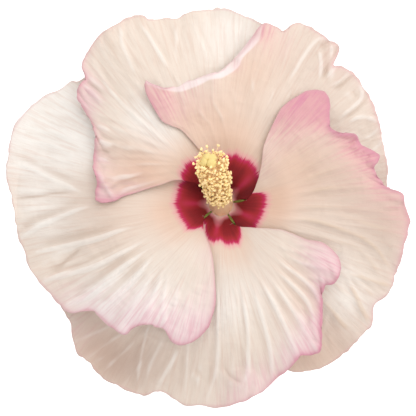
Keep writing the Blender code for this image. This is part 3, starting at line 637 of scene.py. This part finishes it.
    def height(self, across, outward, distance, angle):
        """The lower face's height over the table, without the fine relief."""
        petal = self.petal
        share = sideways(angle)
        x, y = flat(distance, angle)
        lift = along(LAYER_LIFT, distance) * (2 * share - 1) * np.where(share > 0.5, UPPER_LIFT, 1)
        ruffles = waves(share, 5, petal.wave) + 0.6 * waves(share, 8.6, 2.3 * petal.wave)
        height = along(PETAL_PROFILE, distance) + lift + RUFFLE * outward**5 * ruffles
        low_side = 1 - smooth_step(0.1, 0.5, across)
        height = height - petal.droop * smooth_step(0.4, 0.87, outward) * low_side
        height = height + spread(petal.bumps, x, y)
        if petal.fold:
            near, side, _ = nearest(drawn(petal.fold), x, y)
            height = height - FOLD_DROP * (np.where(side > 0, near, 0) / FOLD_WIDTH) ** 1.6
        return height


def crease(pixels, breadth, x, y):
    """A narrow ridge along a curve from the eye outwards, with a valley on its clockwise side."""
    near, side, place = nearest(drawn(pixels), x, y)
    valley = bell((near / breadth - 2.4 * CREASE_WIDTH) / (2 * CREASE_WIDTH)) * np.where(side < 0, 0.75, 0.2)
    ends = smooth_step(0, 0.4, place) * (1 - 0.6 * smooth_step(0.85, 1, place))
    return (bell(near / CREASE_WIDTH) - valley) * ends


def tuck(petal, x, y):
    """1 on a petal where the next one's free side lies over it, and down to 0 a few millimetres away: the
    mask for the painted shade under that side.
    """
    other = next(other for other in PETALS if (other.claw[1] - petal.claw[0]) % 360 == 0)
    way = flat(TUCK_START, other.claw[1])
    start = (PHOTO_CENTRE[0] + way[0], PHOTO_CENTRE[1] - way[1])
    return bell(nearest(drawn([start, *other.over]), x, y)[0] / TUCK_WIDTH)


def settle(height):
    """Heights kept over the table, with a soft turn where they meet it."""
    return TABLE_SOFTNESS * np.logaddexp(0, height / TABLE_SOFTNESS)


def petal(kind):
    """A thin blade with ribs, side veins and a waved margin."""
    blade = Blade(kind)
    shares = np.linspace(0, 1, PETAL_COLUMNS)
    steps = np.linspace(0, 1, PETAL_ROWS) ** ROW_CROWDING
    across, outward = np.meshgrid(shares, steps)
    distance, angle = blade.place(across, outward)
    x, y = flat(distance, angle)
    relief, creases = blade.relief(across, outward, distance, angle)
    height = settle(blade.height(across, outward, distance, angle) + relief)
    points = to_model(x, y, height).reshape(-1, 3) * METRES
    mesh = bpy.data.meshes.new(kind.name + "_blade")
    rows, columns = across.shape
    corner = (np.arange(rows - 1)[:, None] * columns + np.arange(columns - 1)).ravel()
    faces = np.stack([corner, corner + columns, corner + columns + 1, corner + 1], -1)
    mesh.from_pydata(points.tolist(), [], faces.tolist())
    if sum(face.normal.z for face in mesh.polygons) < 0:
        mesh.flip_normals()
    mesh.shade_smooth()
    inside = nearest(at_shares(blade.margin, np.linspace(0, 1, 120)), x, y)[0]
    free_side = (1 - across) * np.radians(abs(blade.over[-1][1] - blade.under[-1][1])) * distance
    inside = np.minimum(inside, free_side)
    # The lip beyond the fold line, which the material paints paler as painted light
    fold = np.zeros_like(across)
    if kind.fold:
        near, side, _ = nearest(drawn(kind.fold), x, y)
        fold = smooth_step(-0.5, 0.4, near * side)
    maps = {name: spread(getattr(kind, name), x, y) for name in ("pink", "rim", "peach", "pale", "shade")}
    maps["rim"] = maps["rim"] * np.exp(-inside / RIM_WIDTH)
    maps["eye"] = 1 - distance / along([(place, reach * PHOTO_SCALE) for place, reach in kind.eye], angle)
    # relief: the creases alone, which the material paints darker in their valleys as painted shade and
    # lighter on their ridges as painted highlight
    maps.update(turn=angle - blade.middle, tuck=tuck(kind, x, y), relief=creases / 0.5, fold=fold,
                inside=inside, reach=distance)
    for name, values in maps.items():
        mark(mesh, name, values.ravel())
    thing = piece(mesh, petal_material(kind), kind.name)
    shell = thing.modifiers.new("thickness", "SOLIDIFY")
    shell.thickness = PETAL_THICKNESS * METRES
    shell.offset = 1


# Shapes shared by the column, the pistil and the green parts

def mark(mesh, name, values):
    """One number for each of a mesh's points, under a name that its material reads."""
    layer = mesh.attributes.new(name, "FLOAT", "POINT")
    layer.data.foreach_set("value", values.astype(np.float32))


def piece(mesh, material, node):
    """A finished piece in the scene that stands for a node."""
    thing = bpy.data.objects.new(mesh.name, mesh)
    bpy.context.scene.collection.objects.link(thing)
    mesh.materials.append(material)
    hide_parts(node)
    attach(thing, "root")
    return thing


def upright(points):
    """Points measured from the flower's middle, in the model."""
    return to_model(points[..., 0], points[..., 1], points[..., 2])


def spoke(turn, far, side, height):
    """Points so far out along a line from the middle, and beside it."""
    return np.stack([far * math.cos(turn) - side * math.sin(turn),
                     far * math.sin(turn) + side * math.cos(turn), height], -1)


def bend(points):
    """Points measured from the column's foot along its straight axis, where the bent column has them."""
    radius = COLUMN_BEND / math.radians(COLUMN_TILT)
    x, y, z = points[..., 0], points[..., 1], points[..., 2]
    bent = np.clip(z, 0, COLUMN_BEND)
    tilt = bent / radius
    lean = radius * (1 - np.cos(tilt)) + np.sin(tilt) * (z - bent) + y * np.cos(tilt)
    rise = radius * np.sin(tilt) + np.cos(tilt) * (z - bent) - y * np.sin(tilt)
    return to_model(0.0, 0.0, COLUMN_FOOT) + spoke(math.radians(-COLUMN_TURN), x, lean, rise)


def turns(count):
    """Angles of so many even steps round a circle."""
    return 2 * np.pi * np.arange(count) / count


class Shape:
    """Points, faces and one number for each point, gathered from many small pieces."""

    def __init__(self):
        self.points = []
        self.faces = []
        self.tones = []
        self.count = 0

    def add(self, points, faces, tone):
        """A piece's points (n by 3) and faces, with one number or n numbers for its tone."""
        self.points.append(points)
        self.faces.extend([tuple(i + self.count for i in face) for face in faces])
        self.tones.append(np.broadcast_to(np.asarray(tone, float), len(points)))
        self.count += len(points)

    def rings(self, rings, tone, closed=False):
        """Rings of points, joined each to the next, with flat ends or with the last joined to the first."""
        rings = np.asarray(rings)
        rows, sides = rings.shape[:2]
        faces = [(r * sides + s, r * sides + (s + 1) % sides, (r + 1) % rows * sides + (s + 1) % sides,
                  (r + 1) % rows * sides + s) for r in range(rows - 1 + closed) for s in range(sides)]
        if not closed:
            faces += [tuple(range(sides))[::-1], tuple((rows - 1) * sides + s for s in range(sides))]
        self.add(rings.reshape(-1, 3), faces, tone)

    def tube(self, path, radii, sides, tone):
        """A closed round tube along a path, with a radius at each of its points."""
        path = np.asarray(path, float)
        ahead = np.gradient(path, axis=0)
        ahead /= np.linalg.norm(ahead, axis=1)[:, None]
        spare = np.array((0.0, 0.0, 1.0)) if abs(ahead[0][2]) < 0.9 else np.array((1.0, 0.0, 0.0))
        side = np.cross(ahead, spare)
        side /= np.linalg.norm(side, axis=1)[:, None]
        up = np.cross(side, ahead)
        turn = turns(sides)[None, :, None]
        ring = side[:, None] * np.cos(turn) + up[:, None] * np.sin(turn)
        self.rings(path[:, None] + ring * np.asarray(radii, float)[:, None, None], tone)

    def upright_tube(self, profile, sides):
        """A tube along the axis, with a smooth radius through a profile of (radius, height)."""
        heights = np.linspace(profile[0][1], profile[-1][1], 40)
        path = np.stack([np.zeros(40), np.zeros(40), heights], -1)
        self.tube(path, along(by_height(profile), heights), sides, 0.0)

    def turned(self, profile, sides, tone=0.0, flutes=0.0):
        """A closed profile of (radius, height) turned round the axis, with shallow flutes near its foot."""
        turn = turns(sides)
        rings = []
        for radius, height in profile:
            radius = radius * (1 + flutes * np.cos(10 * turn) * bell(height / 6))
            rings.append(np.stack([radius * np.cos(turn), radius * np.sin(turn), np.full(sides, height)], -1))
        self.rings(rings, tone, True)

    def to_piece(self, place, material, node):
        """The piece for a node, smooth and in metres, with every point put in place by a function."""
        mesh = bpy.data.meshes.new(node + "_fine")
        mesh.from_pydata((place(np.vstack(self.points)) * METRES).tolist(), [], self.faces)
        mark(mesh, "tone", np.concatenate(self.tones))
        shape = bmesh.new()
        shape.from_mesh(mesh)
        bmesh.ops.recalc_face_normals(shape, faces=shape.faces)
        shape.to_mesh(mesh)
        shape.free()
        mesh.shade_smooth()
        piece(mesh, material, node)


def ball(columns, rows):
    """Points on a unit ball and its faces, with its poles on Z."""
    points = [(0, 0, -1)]
    for row in range(1, rows):
        pitch = math.pi * (row / rows - 0.5)
        points += [(math.cos(pitch) * math.cos(turn), math.cos(pitch) * math.sin(turn), math.sin(pitch))
                   for turn in turns(columns)]
    points.append((0, 0, 1))
    last = len(points) - 1
    around = [(c, (c + 1) % columns) for c in range(columns)]
    faces = [(0, 1 + after, 1 + c) for c, after in around]
    for start in range(1, last - columns, columns):
        faces += [(start + c, start + after, start + columns + after, start + columns + c)
                  for c, after in around]
    faces += [(last - columns + c, last - columns + after, last) for c, after in around]
    return np.array(points, float), faces


def basis(way):
    """A frame whose third column is the given way."""
    return np.array(Vector(way).to_track_quat("Z", "Y").to_matrix())


def stamen_column(material):
    """The tube round the style, with its filaments and anthers."""
    shape = Shape()
    outer, inner = by_height(TUBE_OUTSIDE), by_height(TUBE_INSIDE[::-1])
    tube = [(along(outer, height), height) for height in np.linspace(0, COLUMN_LENGTH, 36)]
    tube += [(along(inner, height), height) for height in np.linspace(COLUMN_LENGTH, 0, 20)]
    shape.turned(tube, 60, 0.0, COLUMN_FLUTES)
    unit, faces = ball(8, 6)
    draw = random.Random(7)
    steps = np.linspace(0, 1, 6)
    shortest, longest = FILAMENT_LENGTHS
    for number in range(STAMENS):
        share = number / (STAMENS - 1)
        start = STAMEN_FIRST + (STAMEN_LAST - STAMEN_FIRST) * share**STAMEN_CROWDING
        turn = math.radians(STAMEN_TURN * number + draw.uniform(-14, 14))
        rise = math.radians(draw.uniform(2, 32) + 25 * share + 28 * (1 - share) * max(math.sin(turn), 0))
        length = (shortest + (longest - shortest) * share**0.6) * draw.uniform(0.7, 1.1)
        way = np.array((math.cos(turn) * math.cos(rise), math.sin(turn) * math.cos(rise), math.sin(rise)))
        surface = float(along(outer, start)) - FILAMENT_ROOT
        root = np.array((math.cos(turn) * surface, math.sin(turn) * surface, start))
        droop = np.array((0, 0, draw.uniform(-0.6, 1.2)))
        path = root + way * (length * steps[:, None]) + droop * (steps**2)[:, None]
        shape.tube(path, FILAMENT_RADIUS * (1 - 0.35 * steps), 5, 0.25)
        frame = basis((draw.uniform(-1, 1), draw.uniform(-1, 1), draw.uniform(-1, 1)))
        size = ANTHER_LENGTH * draw.uniform(0.85, 1.1)
        bean = unit * np.array(ANTHER_FORM) * size
        bean[:, 1] += 0.55 * bean[:, 0] ** 2 / size
        bean[:, 2] *= 1 - 0.45 * bell(unit[:, 0] / 0.25) * (unit[:, 1] > 0)
        shape.add(path[-1] + bean @ frame.T, faces, 0.5 + 0.5 * draw.random())
    shape.to_piece(bend, material, "stamen_column")


def pistil(material):
    """Ovary, style, five branches and five lobes."""
    shape = Shape()
    shape.upright_tube([*OVARY, (STYLE_WIDTH / 2, 6.5), (STYLE_WIDTH / 2, STYLE_LENGTH)], 20)
    unit, faces = ball(24, 16)
    draw = random.Random(5)
    steps = np.linspace(0, 1, 9)[:, None]
    bow = np.array((0, 0, 0.7)) * np.sin(np.pi * steps)
    for way in np.array(STIGMAS):
        path = np.array((0, 0, STYLE_LENGTH - 2)) + way * steps + bow
        shape.tube(path, np.full(9, BRANCH_RADIUS), 9, 0.3)
        lobe = unit * np.array((1, 1, 0.5)) * STIGMA_WIDTH / 2
        grain = np.array([draw.uniform(0.93, 1.08) for _ in unit])
        shape.add(path[-1] + (lobe * grain[:, None]) @ basis(way).T, faces, 1.0)
    shape.to_piece(bend, material, "pistil")


def down(shape, draw, roots, ways, length, width=1.0):
    """Fine pale hairs that stand on a green part."""
    for root, way in zip(roots, ways):
        way = np.asarray(way) + np.array([draw.uniform(-0.5, 0.5) for _ in range(3)])
        tip = root + way * length * draw.uniform(0.6, 1.1)
        path = [root - 0.05 * way, 0.5 * (root + tip), tip + np.array((0, 0, -0.1 * length))]
        shape.tube(path, np.array((1.0, 0.7, 0.2)) * HAIR_RADIUS * width, 3, 2.5)


def calyx(material):
    """A cup under the petals that opens into five pointed lobes, with down and tufts in the slits."""
    columns, rows = 240, 34
    share, outward = np.meshgrid(np.arange(columns) / columns, np.linspace(0, 1, rows))
    lobe = np.abs(2 * ((share * CALYX_LOBES) % 1) - 1)
    reach = CALYX_CLEFT + (CALYX_TIP - CALYX_CLEFT) * smooth_step(0, 1, lobe) * (0.4 + 0.6 * lobe)
    inner = CALYX_PROFILE[0][0]
    distance = inner + (reach - inner) * outward
    turn = math.radians(CALYX_TURN) + 2 * math.pi * share
    vein = bell((1 - lobe) * 12) + 0.5 * bell((lobe - 0.55) * 14)
    height = along(CALYX_PROFILE, distance) - CALYX_THICKNESS - 0.25 * vein * outward
    lower = np.stack([distance * np.cos(turn), distance * np.sin(turn), height], -1)
    upper = lower + np.array((0, 0, CALYX_THICKNESS * 0.98))
    shape = Shape()
    shape.rings(np.concatenate([lower, upper[::-1]]), np.concatenate([vein, vein[::-1]]).ravel(), True)
    draw = random.Random(3)
    picked = [(draw.randrange(2, rows), draw.randrange(columns)) for _ in range(CALYX_HAIRS)]
    down(shape, draw, [lower[place] for place in picked], [(0, 0, -1)] * len(picked), 0.9)
    spin = turns(8)
    for petal in PETALS:
        rings = []
        for far, place in zip(np.linspace(*SLIT_REACH, 12), np.linspace(0, 1, 12)):
            side = np.cos(spin) * SLIT_FILL * math.sin(math.pi * (0.15 + 0.8 * place))
            lift = np.sin(spin) * 0.3 + along(PETAL_PROFILE, far) - 0.75
            rings.append(spoke(math.radians(petal.claw[1]), far, side, lift))
        shape.rings(rings, 1.3)
    for pixel in TUFTS:
        x, y = from_photo(pixel)
        root = np.array((x, y, float(along(PETAL_PROFILE, math.hypot(x, y))) + 0.5))
        down(shape, draw, [root] * 12, [(math.cos(a), math.sin(a), 0.8) for a in turns(12)], 0.5, 1.3)
    shape.to_piece(upright, material, "calyx")


def epicalyx(material):
    """A ring under the calyx with its narrow bractlets."""
    shape = Shape()
    shape.turned(EPICALYX_RING, 60, 0.2)
    curve = spline(BRACTLET_PATH)
    spin = turns(12)
    for turn in turns(BRACTLETS):
        rings = []
        for share in np.linspace(0, 1, 26):
            far, height = at_shares(curve, share)
            width = BRACTLET_WIDTH * math.sin(math.pi * (0.2 + 0.77 * share)) / 2
            side = np.cos(spin) * width
            lift = np.sin(spin) * BRACTLET_THICKNESS / 2 * (0.55 + 0.45 * width)
            keel = 0.21 * (1 - (side / max(width, 0.01)) ** 2)
            rings.append(spoke(turn, far, side, height + lift - keel))
        shape.rings(rings, 0.5)
    shape.to_piece(upright, material, "epicalyx")


def stalk(material):
    """The cut stalk with the seat of all the other pieces."""
    shape = Shape()
    shape.upright_tube(STALK, 40)
    shape.to_piece(upright, material, "pedicel")


# Materials

class Signal:
    """A node's output, which can be added to others, taken away from them and multiplied by them."""

    def __init__(self, nodes, socket):
        self.nodes = nodes
        self.socket = socket

    def __add__(self, other):
        return self.nodes.math("ADD", self, other)

    def __mul__(self, other):
        return self.nodes.math("MULTIPLY", self, other)

    def __sub__(self, other):
        return self.nodes.math("SUBTRACT", self, other)

    def __rsub__(self, other):
        return self.nodes.math("SUBTRACT", other, self)

    __radd__ = __add__
    __rmul__ = __mul__


class Nodes:
    """Short ways to write a material's nodes."""

    def __init__(self, name):
        self.material = bpy.data.materials.new(name)
        self.material.use_nodes = True
        self.tree = self.material.node_tree
        self.shader = self.tree.nodes["Principled BSDF"]

    def put(self, socket, value):
        """A link or a constant into a socket."""
        if isinstance(value, Signal):
            self.tree.links.new(value.socket, socket)
        elif isinstance(value, tuple) and len(value) == 3 and socket.type == "RGBA":
            socket.default_value = (*value, 1)
        else:
            socket.default_value = value

    def add(self, kind, output, inputs, **settings):
        """A new node's output, from its settings and what goes into its sockets."""
        node = self.tree.nodes.new("ShaderNode" + kind)
        for name, value in settings.items():
            setattr(node, name, value)
        for place, value in inputs.items():
            self.put(node.inputs[place], value)
        return Signal(self, node.outputs[output])

    def attribute(self, name):
        return self.add("Attribute", "Fac", {}, attribute_name=name)

    def math(self, operation, first, second=0.0, third=0.0, clamp=False):
        return self.add("Math", 0, {0: first, 1: second, 2: third}, operation=operation, use_clamp=clamp)

    def ramp(self, value, low, high):
        """0 up to low, 1 from high, and smooth between."""
        inputs = {"Value": value, "From Min": low, "From Max": high}
        return self.add("MapRange", "Result", inputs, interpolation_type="SMOOTHSTEP")

    def mix(self, share, first, second, blend="MIX"):
        return self.add("Mix", 2, {0: share, 6: first, 7: second}, data_type="RGBA", blend_type=blend)

    def noise(self, place, scale, detail=3, roughness=0.5):
        inputs = {"Vector": place, "Scale": scale, "Detail": detail, "Roughness": roughness}
        return self.add("TexNoise", "Fac", inputs)

    def streaks(self, turn, reach, across, outwards, seed):
        """Noise in long streaks away from the flower's middle, so many to a degree and to a millimetre."""
        return self.noise(self.add("CombineXYZ", 0, {0: turn * across, 1: reach * outwards, 2: seed}), 1)

    def position(self):
        return self.add("TexCoord", "Object", {})

    def surface(self, colour, roughness, specular):
        """The shader's colour, and what is the same all over."""
        inputs = {"Base Color": colour, "Roughness": roughness, "Specular IOR Level": specular}
        for name, value in inputs.items():
            self.put(self.shader.inputs[name], value)

    def bump(self, height, strength, distance):
        """Fine relief, with the strength of its slopes."""
        normal = self.add("Bump", 0, {"Height": height, "Strength": strength, "Distance": distance})
        self.put(self.shader.inputs["Normal"], normal)
        return normal

    def translucent(self, colour, share, normal):
        """Light passes through: a share of the surface is a thin leaf."""
        leaf = self.add("BsdfTranslucent", 0, {"Color": colour, "Normal": normal})
        both = self.add("MixShader", 0, {0: share, 1: Signal(self, self.shader.outputs[0]), 2: leaf})
        self.put(self.tree.nodes["Material Output"].inputs["Surface"], both)


def petal_material(kind):
    """Cream with streaks along the veins, pink margins, a peach halo and a feathered crimson eye, with
    painted shade and painted highlights over the creases, the overlaps and the turned-down lip.
    """
    seed = kind.seed
    n = Nodes(f"petal_{seed}")
    turn, reach, eye, inside = (n.attribute(name) for name in ("turn", "reach", "eye", "inside"))
    fold, relief, tuck_shadow = (n.attribute(name) for name in ("fold", "relief", "tuck"))
    broad = n.streaks(turn, reach, 0.36, 0.026, seed)
    fine = n.streaks(turn, reach, 1.1, 0.06, seed + 9)
    hair = n.streaks(turn, reach, 3.2, 0.19, seed + 5)
    spikes = n.streaks(turn, reach, 0.3, 0.03, seed + 3)
    mottle = n.noise(n.position(), 160)
    wrinkle = n.noise(n.position(), 700, 3, 0.6)
    halo = n.ramp(eye, -0.9, 0.05) * (fine * 0.6 + 0.5)
    # Less pink on the turned-down lip, as part of its painted light
    pink = n.attribute("pink") * (1 - fold * 0.5)
    near_edge = 1 - n.ramp(inside, 0, 9)
    streaks = n.ramp(fine, 0.42, 0.66) * (near_edge * 0.5 + 0.4) * (pink * 0.85)
    wash = pink * (fine + 0.35)
    rim = n.attribute("rim") * (fine * 1.1 + 0.45)
    depth = (spikes + fine * 0.6 - 0.8) * 0.17 + eye
    middle = n.math("ABSOLUTE", turn)
    dark = n.ramp(depth, 0.1, 0.28) * (1 - n.ramp(depth, 0.5, 0.85)) * n.ramp(middle, 4, 16) * (spikes + 0.45)
    middle_streak = (1 - n.ramp(middle, 0, 8)) * n.ramp(eye, 0.0, 0.4)
    near_middle = 1 - n.ramp(middle, 0, 24)
    glow = 1 - n.ramp(reach, 6.5, near_middle * 3.8 + 8.2)
    star = 1 - n.ramp(reach, 5.6, near_middle * 1.9 + 6.8)
    coats = (
        # The petals' own whiteness, with painted light over shaded places
        (n.ramp(n.attribute("pale"), 0, 1) * 0.95, PALE_AND_HIGHLIGHT_WHITE),
        (n.attribute("peach"), PEACH),
        (n.ramp(broad, 0.4, 0.75) * 0.14, BEIGE_AND_VALLEY_SHADE),
        (n.ramp(fine, 0.46, 0.7) * 0.26, STREAK_TAN),
        (n.ramp(hair, 0.48, 0.72) * 0.12, HAIR_TAN),
        (n.ramp(mottle, 0.45, 0.8) * 0.1, MOTTLE),
        # Painted shade in the crease valleys
        (n.ramp(relief * -1, 0.1, 1.5) * 0.4, BEIGE_AND_VALLEY_SHADE),
        # Painted shade and painted cast shadow from the shade spots
        (n.attribute("shade"), PAINTED_SHADE_BROWN),
        # A painted highlight along the crease ridges, in the crest colour
        (n.ramp(relief, 0.1, 1.3) * 0.45, kind.crest),
        (halo * 0.5, PEACH),
        # Painted light on the lip turned down beyond the fold
        (fold * 0.85, LIP_PAINTED_LIGHT),
        (n.ramp(wash, 0.0, 0.55) * 0.9, kind.blush),
        (n.ramp(wash, 0.3, 1.0), PINK),
        (n.math("MAXIMUM", streaks, rim), DEEP_PINK),
        ((1 - n.ramp(inside, 0, 1.3)) * 0.4, EDGE_PINK),
        # Painted contact shade beside the free side of the petal that lies over this one
        (tuck_shadow * 0.1, TUCK_SHADE_TAN),
        (n.ramp(depth, -0.15, 0.03) * 0.75, FEATHER_PINK),
        (n.ramp(depth, -0.03, 0.06), MAGENTA),
        (n.ramp(depth, 0.02, 0.15), CRIMSON),
        (dark * 0.75, DARK_CRIMSON),
        (middle_streak * 0.5, STREAK_RED),
        # Painted contact shadow in the eye, beside the free side of the petal that lies over this one
        (tuck_shadow * n.ramp(depth, 0, 0.1) * 0.4, TUCK_SHADE_CRIMSON),
        (glow * 0.85, FEATHER_PINK),
        (star, STAR_PINK),
    )
    colour = CREAM
    for share, tone in coats:
        colour = n.mix(share, colour, tone)
    colour = n.mix(1.0, colour, (PETAL_TONE,) * 3, "MULTIPLY")
    n.surface(colour, 0.6, 0.25)
    grown = n.ramp(reach, 20, 75) * 0.45 + 0.2
    normal = n.bump(fine * 0.7 + hair * 0.4 + wrinkle * 0.45, grown, 0.0005)
    n.translucent(colour, 0.2, normal)
    return n.material


def tone_material(name, tones, roughness, share=0.0):
    """A colour that goes from one tone to another with the mesh's own tone, and a fine grain."""
    n = Nodes(name)
    grain = n.noise(n.position(), 900)
    tone = n.attribute("tone")
    colour = n.mix(n.math("MULTIPLY_ADD", grain - 0.5, 0.5, tone, clamp=True), *tones)
    colour = n.mix(n.ramp(tone, 1.6, 2.0), colour, DOWN_WHITE)
    n.surface(colour, roughness, 0.3)
    normal = n.bump(grain, 0.3, 0.0002)
    if share:
        n.translucent(colour, share, normal)
    return n.material


def floor_material():
    """A plain white tabletop, bright enough to show as the photograph's white ground."""
    n = Nodes("floor")
    n.surface(n.mix(n.noise(n.position(), 40, 2), *FLOOR_TONES), 0.9, 0.0)
    n.put(n.shader.inputs["Emission Color"], FLOOR_GLOW)
    n.put(n.shader.inputs["Emission Strength"], 0.7)
    return n.material


# Stage

def stage():
    """Floor, light and camera."""
    bpy.ops.mesh.primitive_plane_add(size=4, location=(0, 0, 0))
    floor = bpy.context.object
    floor.name = "floor"
    floor.data.materials.append(floor_material())
    scene = bpy.context.scene
    sun = bpy.data.lights.new("key", "SUN")
    sun.energy = KEY_STRENGTH
    sun.angle = math.radians(KEY_ANGLE)
    sun.color = KEY_COLOUR
    key = bpy.data.objects.new("key", sun)
    key.rotation_euler = Vector(KEY_WAY).to_track_quat("Z", "Y").to_euler()
    scene.collection.objects.link(key)
    scene.world = bpy.data.worlds.new("studio")
    scene.world.use_nodes = True
    sky = scene.world.node_tree.nodes["Background"].inputs
    sky["Color"].default_value = SKY_COLOUR
    sky["Strength"].default_value = SKY_STRENGTH
    camera = bpy.data.cameras.new("camera")
    camera.sensor_width = SENSOR_WIDTH
    camera.lens = SENSOR_WIDTH * (CAMERA_HEIGHT - TRUE_HEIGHT) / (PHOTO_WIDTH * PHOTO_SCALE)
    camera.clip_end = 10
    eye = bpy.data.objects.new("camera", camera)
    x, y = from_photo(PHOTO_AXIS, PHOTO_ORIGIN)
    eye.location = (x * METRES, y * METRES, CAMERA_HEIGHT * METRES)
    scene.collection.objects.link(eye)
    scene.camera = eye
    scene.view_settings.view_transform = "Standard"


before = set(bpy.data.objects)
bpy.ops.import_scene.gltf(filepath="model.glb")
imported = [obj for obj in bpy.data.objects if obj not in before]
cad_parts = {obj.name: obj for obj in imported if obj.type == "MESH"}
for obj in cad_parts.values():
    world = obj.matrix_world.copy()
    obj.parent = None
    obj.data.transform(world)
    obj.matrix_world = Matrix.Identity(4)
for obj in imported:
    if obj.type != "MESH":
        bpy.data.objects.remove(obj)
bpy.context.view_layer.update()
stage()
for kind in PETALS:
    petal(kind)
stamen_column(tone_material("stamen", ANTHER_TONES, 0.5, 0.1))
pistil(tone_material("stigma", STIGMA_TONES, 0.5, 0.15))
sepal = tone_material("sepal", SEPAL_TONES, 0.6)
calyx(sepal)
epicalyx(sepal)
stalk(tone_material("stalk", STALK_TONES, 0.6))
